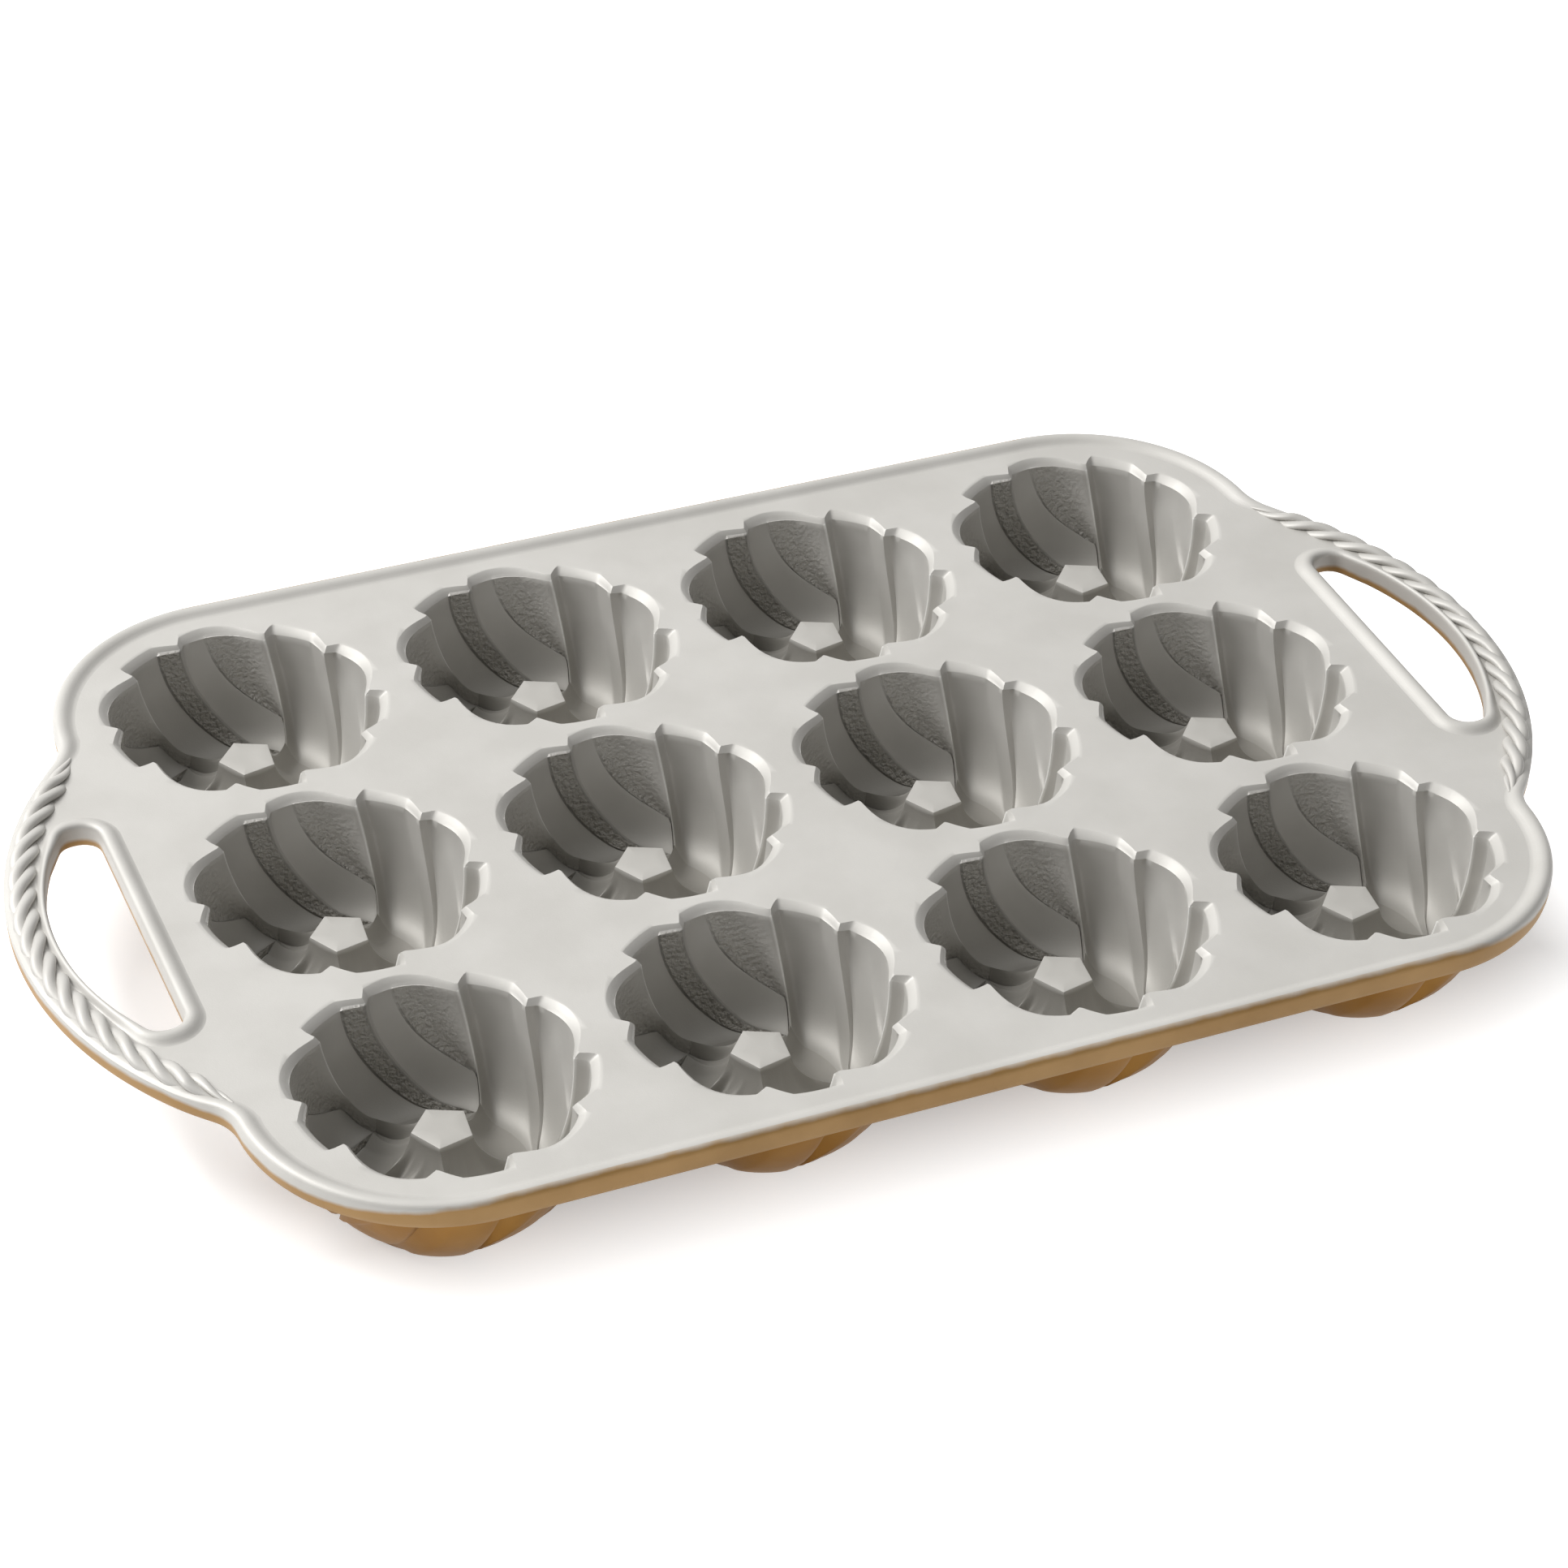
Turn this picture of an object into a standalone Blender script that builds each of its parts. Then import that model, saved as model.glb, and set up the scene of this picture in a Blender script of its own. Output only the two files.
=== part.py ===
"""Mini fluted tube pan: twelve small ring moulds with twisted flutes in one cast aluminium pan.

The pan is a single casting. It is modelled as the features of that casting, each one a closed
solid with its own name: twelve fluted cups, each with a five-sided post and a bay of the flat deck
around its mouth, the raised rim at the front and at the back, and at each end a loop handle with a
bead around its hand opening and a rope ornament. Neighbouring features stand a joint gap apart.
Lengths are metres and angles are degrees, Z is up, X runs along the pan, and the pan stands on the
feet of its cups at z = 0.
"""

import math

import bmesh
import bpy
from mathutils import Vector

# The grid of cups
COLUMNS = 4
ROWS = 3
WEB = 0.0013              # metal left in the deck between two rows of cup seats
COLUMN_SPREAD = 0.0035    # how much further apart the columns stand than the rows
JOINT = 0.0003            # gap between two features of the casting

# The inside of a cup
MOUTH_RADIUS = 0.0385     # widest place of the mouth, in the middle of a flute
LIP_ROUND = 0.0019        # rolled edge between the deck and the wall of a cup
CUP_DEPTH = 0.0328        # deck to the lowest line of the floor
FLOOR_RADIUS = 0.0222     # radius of that lowest line
POST_RADIUS = 0.0079      # centre of the post to a corner of its five-sided top
POST_DROP = 0.0172        # deck to the flat top of the post
MOUTH_RIDGE = 0.0053      # how far a main crease stands in from the flutes at the mouth
WALL_RIDGE = 0.0040       # the same on the wall, just under the lip
FLOOR_RIDGE = 0.0043      # how far a main crease stands up from the floor

# The flutes. A main crease runs from the mouth over the floor to a corner of the post. Clockwise
# from it come a narrow flute, a low crease and a wide flute, up to the next main crease.
REPEATS = 5               # main creases around the cup
FIRST_CREASE = 64         # direction of one main crease at the mouth, from +X
TWIST = 17                # clockwise turn of the main creases from mouth to floor, and again to the top
# Each line gives a height, as a share of the way from the mouth at 0 to the floor at 1, and then the
# seven corners of the section there: degrees past the main crease and depth of the flute
FLUTE_LINES = (
    (0.00, ((0, 0), (2.5, 0.92), (20, 0.86), (31, 0.15), (34, 0.75), (44, 1), (62, 0.5))),
    (0.40, ((0, 0), (3.5, 0.95), (22, 0.92), (32, 0.28), (34, 0.70), (52, 1), (65, 0.5))),
    (0.75, ((0, 0), (8.0, 0.97), (31, 1.00), (41, 0.55), (43, 0.80), (66, 1), (70, 0.5))),
    (1.00, ((0, 0), (14.0, 1.0), (45, 1.00), (55, 0.70), (57, 0.85), (66, 1), (70, 0.5))),
)
POST_CORNERS = (0, 12, 24, 36, 45, 54, 63)  # where the same seven corners lie on the top of the post

# The shell of a cup
WALL = 0.0028             # thickness of the casting in the cups
LIP_BORDER = 0.0003       # flat border of a cup outside the widest place of its mouth
FOOT_WIDTH = 0.0050       # width of the flat ring that a cup stands on

# The deck and its rim
DECK_THICKNESS = 0.0035
SIDE_MARGIN = 0.0125      # outermost mouth to the outside of the rim, along X
FRONT_MARGIN = 0.0100     # the same along Y
CORNER_RADIUS = 0.0500    # outside corner of the pan
RIM_WIDTH = 0.0060
RIM_RISE = 0.0015         # top of the rim above the deck
RIM_HEIGHT = 0.0070       # top of the rim to its underside

# The loop handles
HANDLE_THICKNESS = 0.0060
HANDLE_EDGE = 0.0015      # rounding of the handle's edges
HANDLE_BORDER = 0.00155   # plain edge of the handle outside the rope
HANDLE_SHOULDER = 0.0332  # end of the hand opening to the neck where the handle leaves the rim
OPENING_WIDTH = 0.0216    # hand opening, across the handle
OPENING_LENGTH = 0.0846   # hand opening, along the handle
OPENING_END = 0.0089      # what is left of its width at its two ends, where the bow meets them
OPENING_CORNER_SHARE = 0.56  # rounding of the opening's four corners, as a share of those ends
BEAD_WIDTH = 0.0052       # raised bead beside the straight side and the ends of the opening
BEAD_BESIDE_ROPE = 0.0013 # width of the bead beside the bowed side, where the rope lies
BEAD_HEIGHT = 0.0015
BEAD_NARROWS = (0.3, 0.8) # where it narrows, as shares of the way across the opening
BEAD_SECTION = ((0, 0), (0.12, 0.6), (0.35, 1.0), (0.65, 1.0), (0.88, 0.6), (1, 0))

# The rope ornament
ROPE_WIDTH = 0.0060
ROPE_HEIGHT = 0.0022
ROPE_TURNS = 6            # full turns of the three strands
ROPE_STRANDS = 3
ROPE_GROOVE = 0.22        # depth of the grooves between strands, as a share of the rope
ROPE_STOP = 0.0055        # end of the rope to the neck of the handle, along Y
ROPE_TAPER = 0.12         # share of the rope's length over which each end tapers
ROPE_TIP = 0.35           # thickness of its ends, as a share of the rope

# Fineness of the round shapes
POST_SHARE = 1.4          # ring between the floor at 1 and the top of the post at 2
FOOT_SHARE = 0.93         # twist of the foot's outer edge, on the same scale
ARC_STEPS = 8
FILLET_STEPS = 3
BOW_STEPS = 10
HANDLE_STEPS = 16
ROPE_STEPS_PER_TURN = 10
ROPE_SIDES = 9

# What follows from these sizes
SEAT_RADIUS = MOUTH_RADIUS + LIP_BORDER
WALL_RADIUS = MOUTH_RADIUS - LIP_ROUND
ROW_PITCH = max(2 * (SEAT_RADIUS + JOINT) + WEB, 2 * (WALL_RADIUS + WALL) + JOINT)
COLUMN_PITCH = ROW_PITCH + COLUMN_SPREAD
DECK_TOP = CUP_DEPTH + WALL
HALF_LENGTH = COLUMN_PITCH * (COLUMNS - 1) / 2 + MOUTH_RADIUS + SIDE_MARGIN
HALF_WIDTH = ROW_PITCH * (ROWS - 1) / 2 + MOUTH_RADIUS + FRONT_MARGIN
BEAD_START = HANDLE_EDGE / 2
ROPE_INSET = HANDLE_BORDER + ROPE_WIDTH / 2
HANDLE_GRIP = ROPE_INSET + ROPE_WIDTH / 2 + JOINT + BEAD_BESIDE_ROPE + BEAD_START
HANDLE_REACH = OPENING_WIDTH + HANDLE_GRIP
HANDLE_ROOT = OPENING_LENGTH / 2 + HANDLE_SHOULDER
HANDLE_RADIUS = (HANDLE_ROOT**2 + HANDLE_REACH**2) / (2 * HANDLE_REACH)
OPENING_SAG = OPENING_WIDTH - OPENING_END
OPENING_BOW = (OPENING_LENGTH**2 / 4 + OPENING_SAG**2) / (2 * OPENING_SAG)
HANDLE_CENTRE = HALF_LENGTH + HANDLE_REACH - HANDLE_RADIUS

parts = bpy.data.collections.new("mini_fluted_tube_pan")


def clear_scene():
    """Remove whatever the file holds before the pan is made."""
    for old in list(bpy.data.objects):
        bpy.data.objects.remove(old, do_unlink=True)


def coating(name, colour, roughness, metallic):
    """A material for one surface of the pan."""
    material = bpy.data.materials.new(name)
    material.use_nodes = True
    shader = material.node_tree.nodes["Principled BSDF"]
    shader.inputs["Base Color"].default_value = (*colour, 1)
    shader.inputs["Roughness"].default_value = roughness
    shader.inputs["Metallic"].default_value = metallic
    material.diffuse_color = (*colour, 1)
    return material


def add_part(name, data, material):
    """Put one named feature of the casting in the scene."""
    data.materials.append(material)
    part = bpy.data.objects.new(name, data)
    parts.objects.link(part)
    return part


def shade_round(mesh, sharp_above=35):
    """Smooth shading, with real edges kept where faces meet at more than the angle."""
    mesh.shade_smooth()
    mesh.set_sharp_from_angle(angle=math.radians(sharp_above))


def loft(name, rings, closed=False):
    """A solid skinned over rings of equally many points, joined end to end or closed by two caps."""
    body = bmesh.new()
    loops = [[body.verts.new(point) for point in ring] for ring in rings]
    count = len(loops[0])
    pairs = list(zip(loops, loops[1:]))
    if closed:
        pairs.append((loops[-1], loops[0]))
    else:
        body.faces.new(loops[0])
        body.faces.new(loops[-1])
    for first, second in pairs:
        for step in range(count):
            after = (step + 1) % count
            body.faces.new((first[step], first[after], second[after], second[step]))
    bmesh.ops.recalc_face_normals(body, faces=body.faces)
    mesh = bpy.data.meshes.new(name)
    body.to_mesh(mesh)
    body.free()
    shade_round(mesh)
    return mesh


def arc(centre, radius, start, end, steps):
    """Points of an arc in the XY plane, both ends included."""
    points = []
    for step in range(steps + 1):
        turn = math.radians(start + (end - start) * step / steps)
        points.append(Vector((centre[0] + radius * math.cos(turn), centre[1] + radius * math.sin(turn))))
    return points


def outline_curve(name, outlines, thickness, edge=0.0):
    """A flat curve filled between its outlines, given a thickness and a rounded edge."""
    curve = bpy.data.curves.new(name, "CURVE")
    curve.dimensions = "2D"
    curve.fill_mode = "BOTH"
    curve.extrude = thickness / 2 - edge
    curve.bevel_depth = edge
    curve.bevel_resolution = 1
    curve.offset = -edge
    for points in outlines:
        spline = curve.splines.new("POLY")
        spline.points.add(len(points) - 1)
        for place, point in zip(spline.points, points):
            place.co = (point[0], point[1], 0, 1)
        spline.use_cyclic_u = True
    return curve


# The twelve fluted cups

def wall_line(share):
    """The section of the wall at a share of the way down: (degrees past a main crease, depth)."""
    for (above, upper), (below, lower) in zip(FLUTE_LINES, FLUTE_LINES[1:]):
        if share <= below:
            break
    part = (share - above) / (below - above)
    return [(a + (c - a) * part, b + (d - b) * part) for (a, b), (c, d) in zip(upper, lower)]


def post_line(share):
    """The section of the post: the section of the floor at 1, a regular polygon at 2."""
    flat = math.cos(math.pi / REPEATS)
    line = []
    for (floor_angle, floor_depth), corner in zip(wall_line(1), POST_CORNERS):
        angle = floor_angle + (corner - floor_angle) * (share - 1)
        from_middle = math.radians(angle - 180 / REPEATS)
        polygon_depth = (1 - flat / math.cos(from_middle)) / (1 - flat)
        line.append((angle, floor_depth + (polygon_depth - floor_depth) * (share - 1)))
    return line


def ring(share, crease, flute, centre):
    """One ring of a cup. crease and flute are (radius, height) on a main crease and deep in a flute."""
    line = wall_line(share) if share <= 1 else post_line(share)
    points = []
    for repeat in range(REPEATS):
        for angle, depth in line:
            turn = math.radians(FIRST_CREASE - angle - repeat * 360 / REPEATS - TWIST * share)
            radius = crease[0] + (flute[0] - crease[0]) * depth
            height = crease[1] + (flute[1] - crease[1]) * depth
            points.append(
                (centre[0] + radius * math.cos(turn), centre[1] + radius * math.sin(turn), height)
            )
    return points


def bowl_ring(share, wall, centre):
    """A ring of the bowl, grown by a wall thickness: 0 for the inside of the cup."""
    turn = share * math.pi / 2
    reach = WALL_RADIUS + wall - FLOOR_RADIUS
    flute = (FLOOR_RADIUS + reach * math.cos(turn), DECK_TOP - (CUP_DEPTH + wall) * math.sin(turn))
    crease = (
        FLOOR_RADIUS + (reach - WALL_RIDGE) * math.cos(turn),
        DECK_TOP - (CUP_DEPTH + wall - FLOOR_RIDGE) * math.sin(turn),
    )
    return ring(share, crease, flute, centre)


def post_ring(share, centre):
    """A ring of the post, whose sides are quarter ellipses from the floor to its flat top."""
    turn = (share - 1) * math.pi / 2
    flat_radius = POST_RADIUS * math.cos(math.pi / REPEATS)
    drop = CUP_DEPTH - POST_DROP
    flute = (
        FLOOR_RADIUS - (FLOOR_RADIUS - flat_radius) * math.sin(turn),
        DECK_TOP - POST_DROP - drop * math.cos(turn),
    )
    crease = (
        FLOOR_RADIUS - (FLOOR_RADIUS - POST_RADIUS) * math.sin(turn),
        DECK_TOP - POST_DROP - (drop - FLOOR_RIDGE) * math.cos(turn),
    )
    return ring(share, crease, flute, centre)


def round_ring(share, radius, height, centre):
    """A ring without flutes."""
    return ring(share, (radius, height), (radius, height), centre)


def floor_ring(radius, centre):
    """The ring where bowl and post meet on the floor."""
    return ring(1, (radius, DECK_TOP - CUP_DEPTH + FLOOR_RIDGE), (radius, DECK_TOP - CUP_DEPTH), centre)


def bowl_mesh(name, centre):
    """The fluted bowl: up its inside from the floor, over the lip and down to its foot."""
    meeting = FLOOR_RADIUS + JOINT / 2
    middle_shares = [share for share, _corners in FLUTE_LINES[1:-1]]
    lip_share = math.asin(LIP_ROUND / CUP_DEPTH) / (math.pi / 2)
    mouth = ring(0, (MOUTH_RADIUS - MOUTH_RIDGE, DECK_TOP), (MOUTH_RADIUS, DECK_TOP), centre)
    inside = [bowl_ring(share, 0, centre) for share in (*reversed(middle_shares), lip_share)]
    seat = [round_ring(0, SEAT_RADIUS, height, centre) for height in (DECK_TOP, DECK_TOP - DECK_THICKNESS)]
    outside = [bowl_ring(share, WALL, centre) for share in middle_shares]
    foot = [
        round_ring(FOOT_SHARE, FLOOR_RADIUS + FOOT_WIDTH / 2, 0, centre),
        round_ring(1, meeting, 0, centre),
    ]
    return loft(name, [floor_ring(meeting, centre)] + inside + [mouth] + seat + outside + foot, closed=True)


def post_mesh(name, centre):
    """The post: down its sides from its flat top to the floor, and up the hollow inside it."""
    meeting = FLOOR_RADIUS - JOINT / 2
    sides = [post_ring(2, centre), post_ring(POST_SHARE, centre), floor_ring(meeting, centre)]
    foot = [
        round_ring(1, meeting, 0, centre),
        round_ring(1, FLOOR_RADIUS - FOOT_WIDTH / 2, 0, centre),
    ]
    hollow = round_ring(2, POST_RADIUS - WALL, DECK_TOP - POST_DROP - WALL, centre)
    return loft(name, sides + foot + [hollow])


def cup_places():
    """Row, column, name ending and centre of each cup, from the front left of the pan."""
    for row in range(ROWS):
        for column in range(COLUMNS):
            x = (column - (COLUMNS - 1) / 2) * COLUMN_PITCH
            y = (row - (ROWS - 1) / 2) * ROW_PITCH
            yield row, column, f"{row + 1}_{column + 1}", (x, y)


def add_cups(material):
    for _row, _column, place, centre in cup_places():
        add_part(f"cup_{place}", bowl_mesh(f"cup_{place}", centre), material)
        add_part(f"post_{place}", post_mesh(f"post_{place}", centre), material)


# The deck and its raised rim

def bay_outline(row, column):
    """The bay of the deck around one cup, anticlockwise, with the pan's corner rounded where it has one."""
    inset = RIM_WIDTH + JOINT
    left, right = ((column + side - COLUMNS / 2) * COLUMN_PITCH for side in (0, 1))
    front, back = ((row + side - ROWS / 2) * ROW_PITCH for side in (0, 1))
    left = left + JOINT / 2 if column > 0 else inset - HALF_LENGTH
    right = right - JOINT / 2 if column < COLUMNS - 1 else HALF_LENGTH - inset
    front = front + JOINT / 2 if row > 0 else inset - HALF_WIDTH
    back = back - JOINT / 2 if row < ROWS - 1 else HALF_WIDTH - inset
    radius = CORNER_RADIUS - inset
    points = []
    corners = ((right, front, 1, -1), (right, back, 1, 1), (left, back, -1, 1), (left, front, -1, -1))
    for start, (x, y, side_x, side_y) in zip((-90, 0, 90, 180), corners):
        at_end = column == (COLUMNS - 1 if side_x > 0 else 0)
        at_edge = row == (ROWS - 1 if side_y > 0 else 0)
        if at_end and at_edge:
            points += arc((x - side_x * radius, y - side_y * radius), radius, start, start + 90, ARC_STEPS)
        else:
            points.append(Vector((x, y)))
    return points


def add_deck(material):
    """The flat plate between the cups: a bay with a round seat for each of them."""
    for row, column, place, centre in cup_places():
        seat = [point[:2] for point in round_ring(0, SEAT_RADIUS + JOINT, 0, centre)]
        bay = outline_curve(f"deck_{place}", [bay_outline(row, column), seat], DECK_THICKNESS)
        add_part(f"deck_{place}", bay, material).location.z = DECK_TOP - DECK_THICKNESS / 2


def rim_section():
    """The rim's section from the deck side outwards: distance outwards and height over the deck."""
    low = RIM_RISE - RIM_HEIGHT
    return (
        (0, low),
        (0, 0),
        (RIM_WIDTH * 0.25, RIM_RISE * 0.5),
        (RIM_WIDTH * 0.55, RIM_RISE),
        (RIM_WIDTH * 0.82, RIM_RISE * 0.8),
        (RIM_WIDTH, -RIM_RISE * 0.25),
        (RIM_WIDTH, low * 0.7),
        (RIM_WIDTH * 0.7, low),
    )


def add_rim(name, side, material):
    """The raised rim of the front (side -1) or the back (side 1), from neck to neck."""
    sections = []
    corner_y = HALF_WIDTH - CORNER_RADIUS
    neck_y = HANDLE_ROOT + JOINT
    inner_corner = CORNER_RADIUS - RIM_WIDTH
    for outwards, height in rim_section():
        radius = inner_corner + outwards
        x = HALF_LENGTH - CORNER_RADIUS
        path = [Vector((x + radius, neck_y))]
        path += arc((x, corner_y), radius, 0, 90, ARC_STEPS)
        path += arc((-x, corner_y), radius, 90, 180, ARC_STEPS)
        path.append(Vector((-x - radius, neck_y)))
        sections.append([(point.x, side * point.y, DECK_TOP + height) for point in path])
    rings = [list(points) for points in zip(*sections)]
    add_part(name, loft(name, rings), material)


# The loop handles

def rounded_corners(corners, radius):
    """An outline whose listed corners, given as (point, is_sharp), are rounded where sharp."""
    points = []
    count = len(corners)
    for index, (corner, is_sharp) in enumerate(corners):
        if not is_sharp:
            points.append(corner)
            continue
        towards_last = (corners[index - 1][0] - corner).normalized()
        towards_next = (corners[(index + 1) % count][0] - corner).normalized()
        half_angle = towards_last.angle(towards_next) / 2
        start = corner + towards_last * radius / math.tan(half_angle)
        end = corner + towards_next * radius / math.tan(half_angle)
        middle = corner + (towards_last + towards_next).normalized() * radius / math.sin(half_angle)
        for step in range(FILLET_STEPS + 1):
            spoke = (start - middle).lerp(end - middle, step / FILLET_STEPS)
            points.append(middle + spoke.normalized() * radius)
    return points


def opening_outline():
    """The D-shaped hand opening of the right-hand handle, anticlockwise from its front end."""
    straight_x = HALF_LENGTH
    bow_centre = straight_x + OPENING_WIDTH - OPENING_BOW
    half = OPENING_LENGTH / 2
    spread = math.degrees(math.asin(half / OPENING_BOW))
    bow = arc((bow_centre, 0), OPENING_BOW, -spread, spread, BOW_STEPS)
    corners = [(Vector((straight_x, half)), True), (Vector((straight_x, -half)), True)]
    corners += [(point, index in (0, BOW_STEPS)) for index, point in enumerate(bow)]
    return rounded_corners(corners, OPENING_END * OPENING_CORNER_SHARE)


def handle_outline():
    """The outside of the right-hand handle, from neck to neck and back along the joint."""
    spread = math.degrees(math.asin(HANDLE_ROOT / HANDLE_RADIUS))
    points = arc((HANDLE_CENTRE, 0), HANDLE_RADIUS, -spread, spread, HANDLE_STEPS)
    joint_x = HALF_LENGTH - RIM_WIDTH
    points.append(Vector((joint_x, HANDLE_ROOT)))
    points.append(Vector((joint_x, -HANDLE_ROOT)))
    return points


def mirrored(points, side):
    """The outline for the right-hand handle (side 1) or the left-hand one (side -1)."""
    if side > 0:
        return points
    return [Vector((-point.x, point.y)) for point in reversed(points)]


def add_handle(side, suffix, material):
    """The flat loop that the hand holds, pierced by its opening."""
    name = f"handle_{suffix}"
    outlines = [mirrored(handle_outline(), side), mirrored(opening_outline(), side)]
    handle = outline_curve(name, outlines, HANDLE_THICKNESS, HANDLE_EDGE)
    add_part(name, handle, material).location.z = DECK_TOP - HANDLE_THICKNESS / 2


def add_bead(side, suffix, material):
    """The raised bead around the hand opening, slim beside the bow where the rope lies."""
    name = f"opening_bead_{suffix}"
    edge = opening_outline()
    count = len(edge)
    base = DECK_TOP + JOINT
    rings = []
    for index, point in enumerate(edge):
        along = (edge[(index + 1) % count] - edge[index - 1]).normalized()
        outwards = Vector((along.y, -along.x))
        across_opening = (point.x - HALF_LENGTH) / OPENING_WIDTH
        narrowed = (across_opening - BEAD_NARROWS[0]) / (BEAD_NARROWS[1] - BEAD_NARROWS[0])
        width = BEAD_WIDTH + (BEAD_BESIDE_ROPE - BEAD_WIDTH) * max(0.0, min(1.0, narrowed))
        rings.append([])
        for across, up in BEAD_SECTION:
            place = point + outwards * (BEAD_START + width * across)
            rings[-1].append((side * place.x, place.y, base + BEAD_HEIGHT * up))
    add_part(name, loft(name, rings, closed=True), material)


def add_rope(side, suffix, material):
    """The rope along the bow of a handle: three strands, flat below, that taper at both ends."""
    name = f"rope_{suffix}"
    radius = HANDLE_RADIUS - ROPE_INSET
    spread = math.asin((HANDLE_ROOT - ROPE_STOP) / radius)
    base = DECK_TOP + JOINT
    steps = ROPE_TURNS * ROPE_STEPS_PER_TURN
    rings = []
    for step in range(steps + 1):
        share = step / steps
        direction = spread * (2 * share - 1)
        taper = min(1.0, ROPE_TIP + (1 - ROPE_TIP) * min(share, 1 - share) / ROPE_TAPER)
        rings.append([])
        for corner in range(ROPE_SIDES):
            around = math.pi * (corner / (ROPE_SIDES - 1))
            lay = ROPE_STRANDS * (around - share * ROPE_TURNS * 2 * math.pi)
            swell = 1 - ROPE_GROOVE * (1 + math.cos(lay)) / 2
            out = radius + taper * swell * ROPE_WIDTH / 2 * math.cos(around)
            up = taper * swell * ROPE_HEIGHT * math.sin(around)
            x = HANDLE_CENTRE + out * math.cos(direction)
            rings[-1].append((side * x, out * math.sin(direction), base + up))
    add_part(name, loft(name, rings), material)


clear_scene()
bpy.context.scene.collection.children.link(parts)

silver = coating("silver_nonstick", (0.60, 0.58, 0.55), 0.38, 0.85)
gold = coating("gold_exterior", (0.62, 0.40, 0.16), 0.36, 0.85)

add_deck(silver)
add_cups(silver)
add_rim("rim_front", -1, gold)
add_rim("rim_back", 1, gold)
for handle_side, handle_suffix in ((1, "right"), (-1, "left")):
    add_handle(handle_side, handle_suffix, gold)
    add_bead(handle_side, handle_suffix, silver)
    add_rope(handle_side, handle_suffix, silver)
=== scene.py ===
# %% [markdown]
# Mini fluted tube pan, the visual model. The real pan is one aluminium casting with twelve small
# ring moulds, a raised rim and two loop handles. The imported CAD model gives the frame: every piece
# here goes where a CAD node is, stands for it, and only adds the finer shape and the finish.

# %% Load the frame
import math

import bmesh
import bpy
import numpy as np
from mathutils import Matrix, Vector


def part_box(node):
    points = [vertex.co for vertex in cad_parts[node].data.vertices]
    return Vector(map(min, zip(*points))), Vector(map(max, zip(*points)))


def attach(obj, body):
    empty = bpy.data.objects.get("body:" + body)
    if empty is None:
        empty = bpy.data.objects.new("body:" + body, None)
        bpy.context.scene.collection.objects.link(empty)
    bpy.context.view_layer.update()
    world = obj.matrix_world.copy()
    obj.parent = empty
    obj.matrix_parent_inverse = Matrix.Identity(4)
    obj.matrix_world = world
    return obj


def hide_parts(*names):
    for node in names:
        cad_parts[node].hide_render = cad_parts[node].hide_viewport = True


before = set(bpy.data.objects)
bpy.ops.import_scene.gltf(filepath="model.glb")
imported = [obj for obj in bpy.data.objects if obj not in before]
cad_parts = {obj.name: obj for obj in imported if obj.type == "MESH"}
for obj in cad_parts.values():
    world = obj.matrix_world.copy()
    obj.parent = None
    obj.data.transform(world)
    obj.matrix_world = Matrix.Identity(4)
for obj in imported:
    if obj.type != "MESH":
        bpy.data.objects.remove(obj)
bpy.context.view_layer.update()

# %% [markdown]
# The camera comes first, because every later choice is judged through it. It stands where the
# photographer stood: in front of the pan, a little to its left, about 1.1 m away and looking down
# by 37 degrees, with a long lens that keeps the far cups nearly as large as the near ones.

# %% Camera
CAMERA_PLACE = (-0.36504, -0.80794, 0.70006)
CAMERA_TURNS = (53.0136, -1.8156, -22.8082)
SENSOR_MM, LENS_MM = 36, 97.21
camera = bpy.data.objects.new("camera", bpy.data.cameras.new("camera"))
bpy.context.scene.collection.objects.link(camera)
camera.location = CAMERA_PLACE
camera.rotation_euler = [math.radians(turn) for turn in CAMERA_TURNS]
camera.data.sensor_width = SENSOR_MM
camera.data.lens = LENS_MM
bpy.context.scene.camera = camera
print("camera lens in mm:", camera.data.lens)

# %% [markdown]
# Sizes that the whole pan shares, in metres. The heights and the outer sizes are read from the CAD
# nodes, so that the two models can't drift apart. The others are the ones the pan was drawn with.

# %% Shared sizes
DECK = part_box("deck_1_1")[1].z
HALF_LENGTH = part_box("rim_front")[1].x
HALF_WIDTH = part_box("rim_back")[1].y
HANDLE_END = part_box("handle_right")[1].x
COLUMN_PITCH = 0.083
ROW_PITCH = 0.0795
CORNER = 0.050
RIM = 0.006
MM = 0.001
print("deck height, half length, half width:", DECK, HALF_LENGTH, HALF_WIDTH)

# %% [markdown]
# Every round piece of the pan starts as a plain blank: a section that bmesh.ops.spin turns once
# around the Z axis. A closed section gives a ring, and a section from pole to pole gives a ball.
# Each point keeps the number of its ring, and its direction gives its column, so the blank can then
# be pressed into its real shape as a casting fills its mould. Subdividing a rough cage would be the
# other way, but the creases of the flutes have to run exactly along rows of points.

# %% Turned blanks
MERGE = 1e-5


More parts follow.
